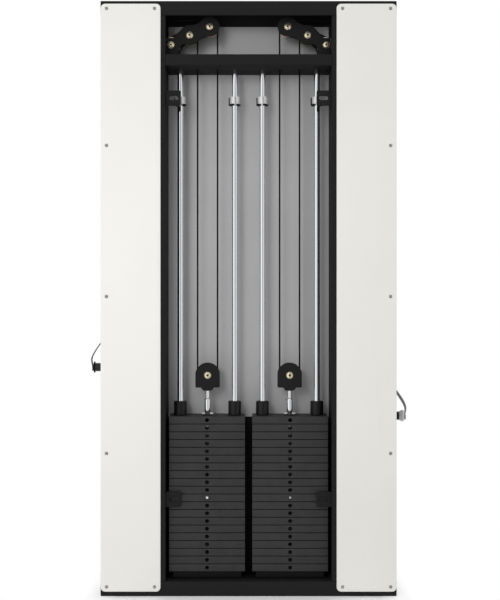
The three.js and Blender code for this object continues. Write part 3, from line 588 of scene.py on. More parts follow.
def bolt_heads(cheek):
    """Two domed heads with flanges, on the outer faces of the cheeks."""
    rim, seat = HEAD_RADIUS + 1.2, HEAD_RADIUS - 2
    flange = [(seat, 0), (rim, 0), (rim, 0.8), (rim - 0.6, 1.2), (seat, 1.2)]
    head = button_head(HEAD_RADIUS, HEAD_HEIGHT, HEAD_SOCKET)
    return joined(both_ends(head, cheek[1]), both_ends(flange, cheek[1]))


def socket_painted_shade(cheek):
    """Black linings in the sockets of the heads: painted shade for the dark inside of each socket.
    """
    outer, brim, inner = (hexagon(HEAD_SOCKET * share) for share in (0.93, 0.87, 0.86))
    foot, mouth, floor = (HEAD_HEIGHT * share for share in (0.36, 0.78, 0.44))
    lining = [(0, foot), (outer, foot), (outer, mouth), (brim, mouth), (inner, floor), (0, floor)]
    return both_ends(lining, cheek[1])


def bolt_shank(cheek):
    """The shank between the heads, with a spacer at each side of the wheel."""
    near, far = 8.6, cheek[0]
    spacer = [(6.1, near), (9.6, near), (10, near + 0.4), (10, far - 0.4), (9.6, far), (6.1, far)]
    shank = bar(6, (-cheek[1], cheek[1]), "y", sides=28)
    return joined(shank, both_ends(spacer, 0))


def set_screw(x, y, z, turn):
    """A socket set screw whose outer end faces the open rear, turned about the upright axis."""
    profile = [(0, 0), (2.8, 0), (2.8, -1.6), (2.8 * 0.8, -2.2), (hexagon(2.8), -2.2)]
    profile += [(hexagon(2.8 * 0.9), -0.8), (0, -0.7)]
    return moved(spun(moved(turned(profile, "y", 24), 0, y), "Z", turn), x, 0, z)


def sheave(pitch, rim):
    """A V-groove wheel with a raised hub and a dished web."""
    floor = pitch - CABLE - 0.5
    hub, web = 13, floor - 5
    half = [(6.7, 8), (hub - 0.6, 8), (hub, 7.4), (hub + 0.8, 5.4), (web - 0.8, 5.4), (web, 7.4)]
    half += [(web + 0.6, 8), (rim - 0.9, 8), (rim - 0.2, 7.7), (rim, 7.1), (floor + 1.6, 3.6)]
    half += [(floor + 0.3, 2.4), (floor, 1.0)]
    return turned([*half, *reversed(flipped(half))], "y", 72)


def show_wheel(side, name, mesh, at):
    wheel = f"{name}_sheave"
    dresser(side, wheel, at)(f"{wheel}_wheel", mesh, "gold", wheel)


# Cable routes
def left_of(heading):
    return Vector((-sin(heading), cos(heading)))


def tangent(here, there):
    """The straight run between wheels of signed radius: positive bends the cable to its left."""
    (place, radius), (next_place, next_radius) = here, there
    span = next_place - place
    heading = atan2(span.y, span.x) - asin((next_radius - radius) / span.length)
    left = left_of(heading)
    return heading, place - left * radius, next_place - left * next_radius


def reeve(stops):
    """The line of a cable from the first stop, round each wheel, to the last."""
    runs = [tangent(a, b) for a, b in zip(stops, stops[1:])]
    points = [runs[0][1]]
    for (place, radius), before, after in zip(stops[1:-1], runs, runs[1:]):
        sweep = (after[0] - before[0]) % tau
        if radius < 0:
            sweep -= tau
        count = ceil(abs(sweep) / ARC_STEP)
        for k in range(count + 1):
            points.append(place - left_of(before[0] + sweep * k / count) * radius)
    points.append(runs[-1][2])
    return points


# Frame, shared by both sides
def both_sides(*xs):
    return [(side * x, 0, 0) for x in xs for side in (-1, 1)]


def rod_holes(zs):
    return copies(bar(ROD_RADIUS + GAP, zs), both_sides(*RODS))


base = block((-BEAM_END, BEAM_END), (REAR, FRONT), (0, BASE_TOP), 3, 3)
recess = block(around(0, 2.8), (REAR + 4, FRONT - 4), (4, BASE_TOP - 4))
recesses = copies(recess, both_sides(BEAM_END + 1.2))
base = carved(base, rod_holes((20, BASE_TOP + 6)), recesses)
put("base_beam_tube", base, "frame", nodes=["base_beam"])
end_cap = block(around(0, 1), (REAR + 5, FRONT - 5), (5, BASE_TOP - 5), 0.6)
put("base_beam_end_caps", copies(end_cap, both_sides(BEAM_END - 1.2)), "knob")

top = block((-BEAM_END, BEAM_END), (REAR, FRONT), (TOP_BEAM_LOW, TOP), 3, 3)
insides = around(0, BEAM_END - WALL), (REAR + WALL, FRONT - WALL)
hollow = block(*insides, (TOP_BEAM_LOW - 8, TOP - WALL), 2)
put("top_beam_channel", carved(top, hollow), "frame", nodes=["top_beam"])

beam = block(around(0, COLUMN_IN - GAP), (REAR, FRONT), (MIDDLE_LOW, MIDDLE_TOP), 3, 3)
strand_holes = copies(bar(9, (MIDDLE_LOW - 6, MIDDLE_TOP + 6)), both_sides(*STRANDS))
beam = carved(beam, rod_holes((MIDDLE_LOW - 6, MIDDLE_LOW + 30.5)), strand_holes)
put("middle_beam_tube", beam, "frame", nodes=["middle_beam"])

lip = [(5.2, 0), (8.8, 0), (8.8, 0.2), (11.6, 0.2), (11.4, 1.4), (8, 2), (5.6, 1.6), (5.2, 0.8)]
grommets = joined(
    moved(turned(flipped(lip), "z", 36), z=MIDDLE_LOW), moved(turned(lip, "z", 36), z=MIDDLE_TOP)
)
put("strand_grommets", copies(grommets, both_sides(*STRANDS)), "rubber")

# Front panels with rounded edges, lips round the pin slots, and screws along the sides
PANEL_HALF = COLUMN_IN + 20
PANEL = (FRONT + GAP, FRONT + GAP + 2)
SPLIT, PANEL_TOP = (corner.z for corner in limits("upper_front_panel"))
PANEL_LOW = limits("lower_front_panel")[0].z
SLOT = (STACK_LOW, STACK_TOP - PITCH)


def pin_slot(x, inset=0.0):
    return stadium(around(x, 30 - inset), (SLOT[0] + inset, SLOT[1] - inset))


upper = prism(rounded(around(0, PANEL_HALF), (SPLIT, PANEL_TOP), 3), PANEL, "y", 0.5)
put("upper_panel_sheet", upper, "panel", nodes=["upper_front_panel"])
sheet = rounded(around(0, PANEL_HALF), (PANEL_LOW, SPLIT - GAP), 3)
lower = prism(sheet, PANEL, "y", 0.4, 1, [pin_slot(-STACK), pin_slot(STACK)])
put("lower_panel_sheet", lower, "frame", nodes=["lower_front_panel"])
trims = [
    prism(pin_slot(x, 0.4), (FRONT + 0.1, FRONT + 2.5), "y", 0.5, 2, [pin_slot(x, 2.6)])
    for x in (-STACK, STACK)
]
put("pin_slot_trims", joined(*trims), "rubber")
screw = moved(turned(button_head(5, 2.4, 3), "y", 24), 0, PANEL[1])
heights = [PANEL_LOW + 14, 300, SPLIT - 16, SPLIT + 16, 980, 1340, 1700, PANEL_TOP - 14]
places = [(x, 0, z) for z in heights for x in around(0, PANEL_HALF - 10)]
put("panel_screws", copies(screw, places), "zinc")


# One column: channel, lugs, rail, stub shafts and cover
def channel():
    near, far, lip_width = COLUMN_IN + WALL, COLUMN_OUT - WALL, 30
    back, front = REAR + WALL, FRONT - WALL
    near_lip, far_lip = COLUMN_IN + lip_width, COLUMN_OUT - lip_width
    section = [(near_lip, REAR), (near_lip, back), (near, back), (near, front), (far, front)]
    section += [(far, back), (far_lip, back), (far_lip, REAR), (COLUMN_OUT, REAR)]
    section += [(COLUMN_OUT, FRONT), (COLUMN_IN, FRONT), (COLUMN_IN, REAR)]
    shell = prism(section, (COLUMN_LOW, COLUMN_TOP), "z")
    upright = [e for e in shell.edges if abs(e.verts[0].co.z - e.verts[1].co.z) > 100]
    corners = [e for e in upright if abs(abs(e.verts[0].co.y) - FRONT) < 0.1]
    bevelled(shell, corners, 1.4, 3)
    window = block((COLUMN_IN - 6, COLUMN_IN + 9), (-32, 32), (MIDDLE_TOP, COLUMN_TOP + 6))
    reach = (NOTCHES[0] - 76, NOTCHES[-1] + 76)
    slot = prism(stadium(around(CABLE_X, 16), reach), (FRONT - 9, FRONT + 6), "y")
    return carved(shell, window, slot)


def lug(middle):
    outline = rounded((COLUMN_IN - 54, COLUMN_IN + 0.6), around(middle, 27), 5)
    slot = stadium(around(COLUMN_IN - 29, 16), around(middle, 7.5))
    return prism(outline, (REAR + 12, REAR + 17), "y", 0.7, 2, [slot])


def weld(middle):
    """A rippled bead on each face of a lug, where it meets the column."""
    beads, steps, sides = [], 60, 8
    for y in (REAR + 11.4, REAR + 17.6):
        line = [(COLUMN_IN - 0.6, y, middle - 25 + 50 * k / steps) for k in range(steps + 1)]
        bead = tube(line, 1.7, sides)
        bead.verts.ensure_lookup_table()
        for k, place in enumerate(line):
            ripple = 1 + 0.18 * sin(k * tau / 5)
            for vert in bead.verts[sides * k : sides * (k + 1)]:
                vert.co = Vector(place) + (vert.co - Vector(place)) * ripple
        beads.append(bead)
    return joined(*beads)


def rail():
    walls = prism(rail_square(RAIL_HALF, 5), (RAIL_LOW, RAIL_TOP), "z",
                  holes=[rail_square(RAIL_HALF - WALL, 2.5)])
    mouth = turned([(0, 4), (7.8, 4), (7.8, 0.05), (7, -0.8), (7, -12), (0, -12)], "y", 32)
    return carved(walls, copies(mouth, [(RAIL.x, RAIL.y + RAIL_HALF, z) for z in NOTCHES]))


def rail_standoffs():
    foot = block(around(RAIL.x, 24), (FRONT - 0.5, FRONT + 7.5), (0, 40), 1)
    return copies(foot, [(0, 0, RAIL_LOW), (0, 0, RAIL_TOP - 40)])


def rail_caps():
    cap = prism(rail_square(21.6, 2.5), (0, 6.5), "z", 0.5)
    return copies(cap, [(0, 0, RAIL_LOW - 0.5), (0, 0, RAIL_TOP - 6)])


def stub_shaft():
    web = FRONT - WALL
    profile = [(0, -13.6), (7.4, -13.6), (8.5, -12.8), (8.5, -9.4), (7.8, -8.6), (6, -8.6)]
    profile += [(6, 8.6), (10, 8.6), (10, web - 4), (14, web - 1), (14, web + 0.4), (0, web + 0.4)]
    return turned(profile, "y", 40)


COVER_LOW, COVER_HIGH = limits("right_rear_cover")
COVER_FACE = COVER_LOW.y
ends = (COVER_LOW.z + 17, COVER_HIGH.z - 17)
COVER_SCREWS = [(COVER_LOW.x + 21, 0, z) for z in ends]
COVER_SCREWS += [(COVER_HIGH.x - 21, 0, z) for z in (ends[0], 505, 1059, 1592, ends[1])]


def rear_cover():
    """A sheet with a rounded edge all round its outer face, and a counterbore at each screw."""
    outline = rounded((COVER_LOW.x, COVER_HIGH.x), (COVER_LOW.z, COVER_HIGH.z), 16)
    cover = prism(outline, (COVER_FACE, COVER_HIGH.y), "y")
    rim = [e for e in cover.edges if all(abs(v.co.y - COVER_FACE) < 0.01 for v in e.verts)]
    bevelled(cover, rim, 2.6, 5)
    seat = [(0, -4), (6.9, -4), (6.9, 0), (6.4, 0.4), (6.4, 2.9), (0, 2.9)]
    seats = copies(turned(seat, "y", 30), COVER_SCREWS)
    return carved(cover, moved(seats, y=COVER_FACE))


def cover_screws():
    head = turned(flipped(button_head(5.6, 2.5, 3.4)), "y", 30)
    return copies(moved(head, y=COVER_FACE + 2.85), COVER_SCREWS)


for side in SIDES:
    dress = dresser(side)
    dress("column_channel", channel(), "frame", "column")
    dress("wall_lugs", joined(*map(lug, LUGS)), "frame")
    dress("lug_welds", joined(*map(weld, LUGS)), "frame", crease=60)
    dress("rail_tube", rail(), "chrome")
    dress("rail_standoffs", rail_standoffs(), "frame")
    dress("rail_caps", rail_caps(), "knob")
    shafts = copies(stub_shaft(), at_wheels(COLUMN_UPPER, COLUMN_LOWER))
    dress("stub_shafts", shafts, "zinc")
    dress("cover_sheet", rear_cover(), "cover", "rear_cover")
    dress("cover_screws", cover_screws(), "zinc")


# Guide rods. The bearing, 1 or -1, is the way along x that ends up on the picture's left.
def rod(x):
    return bar(ROD_RADIUS, (BASE_TOP - 22, MIDDLE_LOW + 30), "z", (x, 0, 0), 64, 1)


def collar(x, bearing):
    """A split clamp collar: a ring with a slit in its front, and a screw at its back."""
    ring = [(COLLAR_BORE, 0), (17.3, 0), (18, 0.7), (18, 26.3), (17.3, 27), (COLLAR_BORE, 27)]
    slit = block(sorted((-bearing * 0.5, -bearing * 6.5)), (-20, -8), (-2, 29))
    screw_hole = bar(3, (13.5, 19), "y", (0, 0, COLLAR_HEIGHT / 2), 20)
    return moved(carved(turned(ring, "z", 64), slit, screw_hole), x, 0, COLLAR)


def bumper_and_shade_tab(x, bearing):
    """A thin disc under the collar, open at its front, with a black tab that stands up beside it on
    the picture's left. The tab is painted shade beside the collar.
    """
    ring = [(COLLAR_BORE, 0), (20.8, 0), (21.6, 0.8), (21.6, 2.75), (21, 3.35)]
    disc = turned([*ring, (COLLAR_BORE, 3.35)])
    disc = carved(disc, block((-10, 2), (-30, -6), (-2, 5.35)))
    # The black tab is painted shade: it stands where the collar's shadow falls, on the picture's
    # left of each collar.
    tab = block(sorted((bearing * 18.3, bearing * 21.9)), (-5, 7), (0.5, 27.4), 0.8)
    return moved(joined(disc, tab), x, 0, COLLAR - 3.4)


# Weight stack
def cushion():
    xs, ys = around(STACK, HALF_WIDTH - 12), around(0, HALF_DEPTH - 12)
    pad = block(xs, ys, (BASE_TOP + GAP, STACK_LOW), 4, 3)
    return carved(pad, rod_holes((BASE_TOP - 6, STACK_LOW + 6)))


def plate_blank():
    """One plate at the origin: rounded edges, rod and stem bores, and a chamfered pin hole."""
    half, reach = PITCH / 2 - SEAM, HALF_DEPTH
    blank = block(around(0, HALF_WIDTH), around(0, reach), (-half, half), 1.0)
    through = around(0, half + 6)
    bores = [bar(BORE_RADIUS, through, at=(x - STACK, 0, 0)) for x in RODS]
    bores = joined(block((-10, 10), (-10, 10), through), *bores)
    mouth = PIN_HOLE + 1.2
    profile = [(0, -reach - 4), (mouth, -reach - 4), (mouth, -reach - 0.1), (PIN_HOLE, -reach + 1)]
    return carved(blank, bores, turned([*profile, *reversed(flipped(profile))], "y", 32))


def pile(first, count):
    places = [(STACK, 0, STACK_LOW + (first + k + 0.5) * PITCH) for k in range(count)]
    return copies(plate_blank(), places)


def bush(x):
    """A nylon bush with a flange on the top plate and a lead-in at its mouth."""
    foot, bore = STACK_TOP + 0.02, BORE_RADIUS
    high = plate_high.z - foot
    profile = [(bore, 0), (23, 0), (24, 1), (24, 5), (23.4, 6), (23.4, high - 3)]
    profile += [(22.4, high - 0.8), (20.8, high), (13.6, high), (bore, high - 2)]
    return moved(turned(profile, "z", 56), x, 0, foot)


def stem_fittings():
    """Coupler and threaded neck over the top plate."""
    foot, shoulder = STACK_TOP + GAP, STACK_TOP + 55
    neck_top = FLOAT - 55 - GAP
    profile = [(0, foot), (10, foot), (10.6, foot + 0.6), (10.6, foot + 8), (11, foot + 9)]
    profile += [(11, shoulder), (9.8, shoulder + 2.6), (7.6, shoulder + 4.6)]
    z, thread = STACK_TOP + 60, 1.6
    while z + thread < neck_top:
        profile += [(7, z), (6.8, z + thread / 2)]
        z += thread
    profile += [(7, neck_top - 0.8), (6.4, neck_top), (0, neck_top)]
    return turned(profile, "z", 56)


def washer():
    ring = [(10.5, 0), (20.1, 0), (20.5, 0.4), (20.5, 0.8), (20.1, 1.2), (10.5, 1.2)]
    return moved(turned(ring, "z", 56), z=STACK_TOP + GAP)


def cross_pin():
    return bar(3.1, (-20.5, 20.5), "x", (0, 0, STACK_TOP + 4.6), 28, 0.7)


def stem_bar():
    heights = [STACK_LOW + (k + 0.5) * PITCH for k in range(PLATES - 1)]
    holes = [circle((0, z), PIN_HOLE, 24) for z in heights]
    low, high = STACK_LOW + 4, STACK_TOP + 0.8
    return prism([(-9, low), (9, low), (9, high), (-9, high)], (-9, 9), "y", holes=holes)


PIN_Z = STACK_LOW + (RESTING + 0.5) * PITCH
PIN_FACE = HALF_DEPTH + GAP


def pin_shaft():
    tip = -HALF_DEPTH + 4
    length = PIN_FACE + 1 - tip
    profile = [(0, 0), (4.6, 0), (5.8, 0.9), (6.2, 2.4), (6.2, 14), (5.6, 14.6), (5.6, 16.4)]
    profile += [(6.2, 17), (6.2, length), (0, length)]
    return moved(turned(profile, "y", 40), y=tip)


def pin_knob():
    ribs = fluted(16, 12, 0.8)
    profile = [(0, 0.5), (11, 0), (13, 0.6), (13.6, 3), (ribs, 6), (ribs, 14), (15, 16.6)]
    profile += [(13, 17.8), (6, 18), (4, 17.2), (0, 17.2)]
    return moved(turned(profile, "y", 96), y=PIN_FACE)


def yoke_lug(top):
    lug_half, foot_half, skirt, drop = 23, 11.5, -44, -55
    points = [(-lug_half, top)]
    points += quadratic((-lug_half, skirt), (-foot_half - 6, drop), (-foot_half, drop))
    points += quadratic((foot_half, drop), (foot_half + 6, drop), (lug_half, skirt))
    return [*points, (lug_half, top)]


def paired(mesh, axis):
    """A cheek or ear drawn on one side of the middle, with its twin on the other."""
    reach = [vert.co["xyz".index(axis)] for vert in mesh.verts]
    return copies(mesh, [(0, 0, 0), lay(axis, 0, 0, -min(reach) - max(reach))])


def yoke():
    """Two domed cheeks that run down into one lug."""
    half = 43.5
    edge = acos(half / YOKE_DOME)
    outline = [(-half, -42), (-half + 2, -44), *yoke_lug(-44)[1:-1], (half - 2, -44), (half, -42)]
    outline += arc((0, 0), YOKE_DOME, edge, pi - edge)
    lug_block = prism(yoke_lug(-43), around(0, CHEEK[0] + 0.2), "y")
    return joined(paired(prism(outline, CHEEK, "y", 0.9, 3), "y"), lug_block)


for side in SIDES:
    bearing = 1 if side == "left" else -1
    dress = dresser(side)
    for place, x in zip(("inner", "outer"), RODS):
        name = f"{place}_guide_rod"
        dress(f"{name}_shaft", rod(x), "chrome", name)
        dress(f"{name}_collar", collar(x, bearing), "steel")
        # The bumper's black tab is painted shade beside the collar.
        dress(f"{name}_bumper", bumper_and_shade_tab(x, bearing), "rubber")
        screw = set_screw(x, -14.6, COLLAR + COLLAR_HEIGHT / 2, 180)
        dress(f"{name}_collar_screw", screw, "rubber")
    dress("cushion_pad", cushion(), "rubber", "stack_cushion")
    dress("lower_plates", pile(0, RESTING), "plate", "resting_plates")
    dress = dresser(side, "stack")
    dress("upper_plates", pile(RESTING, PLATES - RESTING - 1), "plate", "selected_plates")
    dress("head_plate", pile(PLATES - 1, 1), "plate", "top_plate")
    dress("bushes", joined(*map(bush, RODS)), "knob")
    dress = dresser(side, "stack", (STACK, 0, 0))
    dress("stem_coupler", stem_fittings(), "chrome", "selector_stem")
    dress("stem_washer", washer(), "frame")
    dress("stem_cross_pin", cross_pin(), "steel")
    dress("stem_bar", stem_bar(), "frame")
    dress("coupler_screw", set_screw(0, -9.4, STACK_TOP + 54.4, 70 * bearing), "rubber")
    dress = dresser(side, "selector_pin", (STACK, 0, PIN_Z))
    dress("pin_shaft", pin_shaft(), "chrome", "selector_pin")
    dress("pin_knob", pin_knob(), "knob")
    dress = dresser(side, "stack", (STACK, 0, FLOAT))
    dress("yoke_cheeks", yoke(), "frame", "pulley_yoke")
    dress("yoke_shaft", bolt_shank(CHEEK), "zinc")
    dress("yoke_bolt_heads", bolt_heads(CHEEK), "brass")
    # Black socket linings: painted shade inside the bolt heads' sockets.
    dress("yoke_bolt_sockets", socket_painted_shade(CHEEK), "knob")
    show_wheel(side, "floating", sheave(FLOAT_GROOVE, FLOAT_RIM), (STACK, 0, FLOAT))


# Pulley bracket
BRACKET_FILLET = 54


def scallop(first, second, side, disc):
    """The circle that touches two equal discs on one side, and the angle to it from each disc."""
    span = second - first
    reach = disc + BRACKET_FILLET
    offset = sqrt(reach * reach - span.length_squared / 4)
    middle = (first + second) / 2 + Vector((-span.y, span.x)).normalized() * side * offset
    angles = [atan2(middle.y - place.y, middle.x - place.x) for place in (first, second)]
    return middle, angles


def bracket_outline(disc):
    foot, wall = MIDDLE_TOP + GAP, COLUMN_IN - GAP
    shoulder = OUTER.y + 25
    toe = wall - 43
    upper, (upper_first, upper_second) = scallop(INNER, MIDDLE, 1, disc)
    lower, (lower_first, lower_second) = scallop(INNER, MIDDLE, -1, disc)
    points = [(wall, foot), (wall, shoulder - 3), (wall - 3, shoulder), (OUTER.x - 9, shoulder)]
    points += arc(MIDDLE, disc, pi * 0.26, upper_second)
    points += arc(upper, BRACKET_FILLET, upper_second - pi, upper_first - pi, True)
    points += arc(INNER, disc, upper_first, lower_first + tau)
    points += arc(lower, BRACKET_FILLET, lower_first + pi, lower_second + pi, True)
    tail = arc(MIDDLE, disc, lower_second, -pi / 3)
    return points + tail + quadratic(tail[-1], (toe, foot + 44), (toe, foot), 14)


def bracket():
    """The rear plate, a slimmer front plate and the foot between them."""
    near, far = BRACKET_CHEEK
    rear = prism(bracket_outline(36), (-far, -near), "y", 0.8, 3)
    slim = prism(bracket_outline(29), (near, far), "y", 0.8, 3)
    wall, foot = COLUMN_IN - GAP, MIDDLE_TOP + GAP
    ys = around(0, near + 0.4)
    return joined(rear, slim, block((wall - 39, wall - 0.5), ys, (foot + 0.1, foot + 4), 0.8))


def cable_tube(points):
    return tube([(point[0], 0, point[1]) for point in points], CABLE)


def standing_run():
    """The cable from the middle beam over the bracket, round both column wheels and back."""
    ends = [(Vector((x, MIDDLE_TOP)), 0) for x in STRANDS]
    turns = [(wheel, -GROOVE) for wheel in (INNER, COLUMN_UPPER, COLUMN_LOWER)]
    turns += [(wheel, GROOVE) for wheel in (OUTER, MIDDLE)]
    return cable_tube(reeve([ends[0], *turns, ends[1]])[1:-1])


for side in SIDES:
    dress = dresser(side)
    places = at_wheels(INNER, MIDDLE, OUTER)
    dress("bracket_plates", bracket(), "frame", "pulley_bracket")
    dress("bracket_shafts", copies(bolt_shank(BRACKET_CHEEK), places), "zinc")
    dress("bracket_bolt_heads", copies(bolt_heads(BRACKET_CHEEK), places), "brass")
    # Black socket linings: painted shade inside the bolt heads' sockets.
    dress("bracket_bolt_sockets", copies(socket_painted_shade(BRACKET_CHEEK), places), "knob")
    for name, place in WHEELS.items():
        show_wheel(side, name, sheave(GROOVE, RIM), (place.x, 0, place.y))
    dress("standing_run", standing_run(), "cable", "standing_cable")
    under = arc((STACK, FLOAT), FLOAT_GROOVE, pi, 0)
    dresser(side, "stack")("float_loop", cable_tube(under), "cable", "lift_cable")
    for name, x, high in (("inner", STRANDS[0], INNER.y), ("outer", STRANDS[1], MIDDLE.y)):
        strand = dress(f"{name}_strand", cable_tube([(x, FLOAT), (x, high)]), "cable")
        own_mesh(strand)


# Carriage, drawn about its middle on the rail
REACH = 150  # of the hanging cable, from the plane of the wheels in the column
FRONT_WHEEL = (REACH - GROOVE, -GROOVE)
WHEEL_PLACES = {"inner": (GROOVE, GROOVE), "front": FRONT_WHEEL}
SLEEVE_HALF = 75
BALL, BALL_RADIUS = -91, 18
PIVOT = -123


def carriage_sleeve():
    span = (-SLEEVE_HALF, SLEEVE_HALF)
    shell = prism(rail_square(31, 6), span, "z", 0.8, 2, [rail_square(26, 5)])
    return carved(shell, bar(6.2, (RAIL.y + 20, RAIL.y + 40), "y", (RAIL.x, 0, 0), 28))


def sleeve_liners():
    liner = prism(rail_square(30, 5.5), (0, 0.2), "z", holes=[rail_square(25.5, 5)])
    return copies(liner, [(0, 0, -SLEEVE_HALF), (0, 0, SLEEVE_HALF - 0.2)])


def plunger_boss():
    ring = [(6.2, 0), (15, 0), (15, 1), (12.4, 3), (12, 4), (12, 13.5), (11, 14.5), (6.2, 14.5)]
    return moved(turned(ring, "y", 40), RAIL.x, RAIL.y + 30.5)


def carriage_cheeks():
    """Two side plates over the carriage's wheels."""
    tail, nose = (Vector(place) for place in WHEEL_PLACES.values())
    turn = atan2(nose.y - tail.y, nose.x - tail.x) + pi / 2
    outline = arc(tail, 36, turn, turn + pi) + arc(nose, 36, turn + pi, turn + tau)
    return moved(paired(prism(outline, CHEEK, "x", 0.8, 3), "x"), CABLE_X)


def carriage_arm():
    near, far = RAIL.x + 30.5, CABLE_X - 9.6
    outline = [(near, -52), (far, -46), (far, 8), (near, 52)]
    return prism(outline, around(RAIL.y, 6), "y", 1.2, 3)


def plunger_pin():
    """The pin that enters a notch, from its tip."""
    profile = [(0, 0), (2.6, 0), (5.6, 3), (5.6, 26.3), (8.5, 26.3), (8.5, 28.7), (7.2, 29.3)]
    return turned([*profile, (7.2, 41.3), (8.5, 42.3), (0, 42.3)], "y", 40)


def plunger_knob():
    ribs = fluted(17, 16, 0.9)
    profile = [(0, 41.9), (9, 41.9), (14, 43.3), (ribs, 45.7), (ribs, 50.7), (15.4, 52.7)]
    return turned([*profile, (12.6, 53.3), (5, 52.9), (0, 52.5)], "y", 96)


def carriage_run():
    """The cable from where it leaves the standing cable, round both wheels, to the ball."""
    inner, front = (Vector(place) for place in WHEEL_PLACES.values())
    stops = [(Vector((0, 150)), 0), (inner, GROOVE), (front, -GROOVE)]
    points = reeve([*stops, (Vector((REACH, BALL)), 0)])
    return tube([(CABLE_X, point.x, point.y) for point in points if point.x > 6.3], CABLE)


def stop_ball():
    profile = on_circle((0, 0), BALL_RADIUS, [radians(-84 + 12 * k) for k in range(15)])
    ball = turned([(0, -BALL_RADIUS), *profile, (0, BALL_RADIUS)])
    return moved(ball, CABLE_X, REACH, BALL)


def swivel_fork():
    """A clevis under the ball with a pin across it."""
    ear = [(-5, 4), *arc((0, 0), 5, pi, 0), (5, 4), (5, 17), (-5, 17)]
    pin = [(0, -9.2), (3.9, -9.2), (4.3, -8.8), (4.3, -8.1), (3, -8.1)]
    pin = turned([*pin, *reversed(flipped(pin))], "x", 28)
    ears = paired(prism(ear, (4.1, 8.1), "x", 0.5), "x")
    return moved(joined(ears, pin), CABLE_X, REACH, PIVOT)


# Handle, drawn about its swivel pin, or about the grip's axis, which hangs under it
GRIP_DROP = 191
STRAP_TOP = 145
PATCH_LIFT, STITCH_LIFT = 1.9, 2.5
STITCH_ROWS = (-9.5, -4, 4, 9.5)


def spline(points, steps=12):
    """A smooth line through the points."""
    line, last = [], len(points) - 1
    for i in range(last):
        near = points[max(i - 1, 0)], points[i], points[i + 1], points[min(i + 2, last)]
        for k in range(steps):
            t = k / steps
            point = (
                0.5 * (2 * q + (r - p) * t + (2 * p - 5 * q + 4 * r - s) * t * t
                       + (3 * q - p - 3 * r + s) * t**3)
                for p, q, r, s in zip(*near)
            )
            line.append(tuple(point))
    return [*line, points[-1]]


def strap_line(ankle):
    """The strap's middle line. The ankle is where its outer leg meets the grip."""
    bow = [(0, STRAP_TOP), (31, 126), (66, 84), (93.9, 36)]
    inner, outer = (spline([*bow, (x, 0), (x, -13)]) for x in (90, ankle))
    return [(-x, z) for x, z in reversed(inner[1:])] + outer


def strap_frames(line, twist=0):
    """Frames along the strap. The outer leg may be twisted, most midway, by some degrees."""
    frames, last = [], len(line) - 1
    for i, (x, z) in enumerate(line):
        before, after = line[max(i - 1, 0)], line[min(i + 1, last)]
        run = Vector((after[0] - before[0], 0, after[1] - before[1])).normalized()
        leg = max(2 * i / last - 1, 0)
        turn = Matrix.Rotation(radians(twist) * sin(leg * pi), 3, run)
        across, outwards = turn @ Vector((0, 1, 0)), turn @ Vector((-run.z, 0, run.x))
        frames.append((Vector((x, 0, z - GRIP_DROP)), across, outwards))
    return frames


def strap_part(line, low, high):
    """The frames between two shares of the line."""
    frames = strap_frames(line)
    return frames[int(low * len(frames)) : int(high * len(frames)) + 1]


def strap_section(width, thickness):
    """A flat band with round edges and a slight crown."""
    half, edge = width / 2, thickness / 2
    flat = (half / 2, 0, -half / 2)
    top = [(half - edge, edge * 0.9), *((u, edge) for u in flat)]
    left = arc((-half + edge, 0), edge * 0.9, pi / 2, 3 * pi / 2)
    right = arc((half - edge, 0), edge * 0.9, -pi / 2, pi / 2)
    bottom = [(-u, -edge) for u in flat]
    return without_repeats([*top, *left[::3], *bottom, *right[::3]])


def patch(line, low, high):
    """A second layer of webbing sewn over a part of the strap."""
    part = strap_part(line, low, high)
    raised = [(place + outwards * PATCH_LIFT, across, outwards) for place, across, outwards in part]
    return swept(raised, strap_section(24, 1.4))


def stitches(line, low, high):
    """Short threads in rows along a part of the strap."""
    part = strap_part(line, low, high)
    threads = []
    for offset in STITCH_ROWS:
        for pair in zip(part, part[1:]):
            start, end = (f[0] + f[1] * offset + f[2] * STITCH_LIFT for f in pair)
            middle, run = (start + end) / 2, (end - start) * 0.32
            threads.append(tube([middle - run, middle, middle + run], 0.45, 6))
    return joined(*threads)


def ring_wire():
    """A triangular ring in the y, z plane that the strap hangs on, and its eye on the pin."""
    low = -GRIP_DROP + STRAP_TOP - 1.5 - 7 + 3.4
    half, corner = 18.4, 6
    path = [(-3, -5), (-half, low + 20)]
    path += arc((-half + corner, low + corner), corner, pi, 3 * pi / 2)
    path += arc((half - corner, low + corner), corner, -pi / 2, 0)
    path += [(half, low + 20), (3, -5)]
    wire = tube([(0, y, z) for y, z in path], 3.3, 16)
    eye = [(3.6, -3.3), (6.9, -3.3), (7.5, -2.6), (7.5, 2.6), (6.9, 3.3), (3.6, 3.3)]
    return joined(wire, turned(eye, "x", 36))


def grip_sleeve():
    profile = [(8, -80), (14.4, -80)]
    x = -79.4
    while x < 76:
        profile += [(14.2, x), (15.95, x + 0.8), (15.95, x + 3.0), (14.2, x + 3.8)]
        x += 5.3
    return turned([*profile, (14.4, 80), (8, 80)], "x", 56)


def grip_caps(inner, flare, outer):
    """Caps at both ends of the grip, each widening from its inner end to a flange."""
    half = [(8, inner), (16.2, inner), (16.8, inner + 0.8), (20.8, flare), (21.5, flare + 1)]
    half += [(21.5, outer - 1.6), (20.8, outer - 0.8), (19.6, outer), (9, outer), (8, outer - 0.8)]
    return both_ends(half, 0, "x", 56)


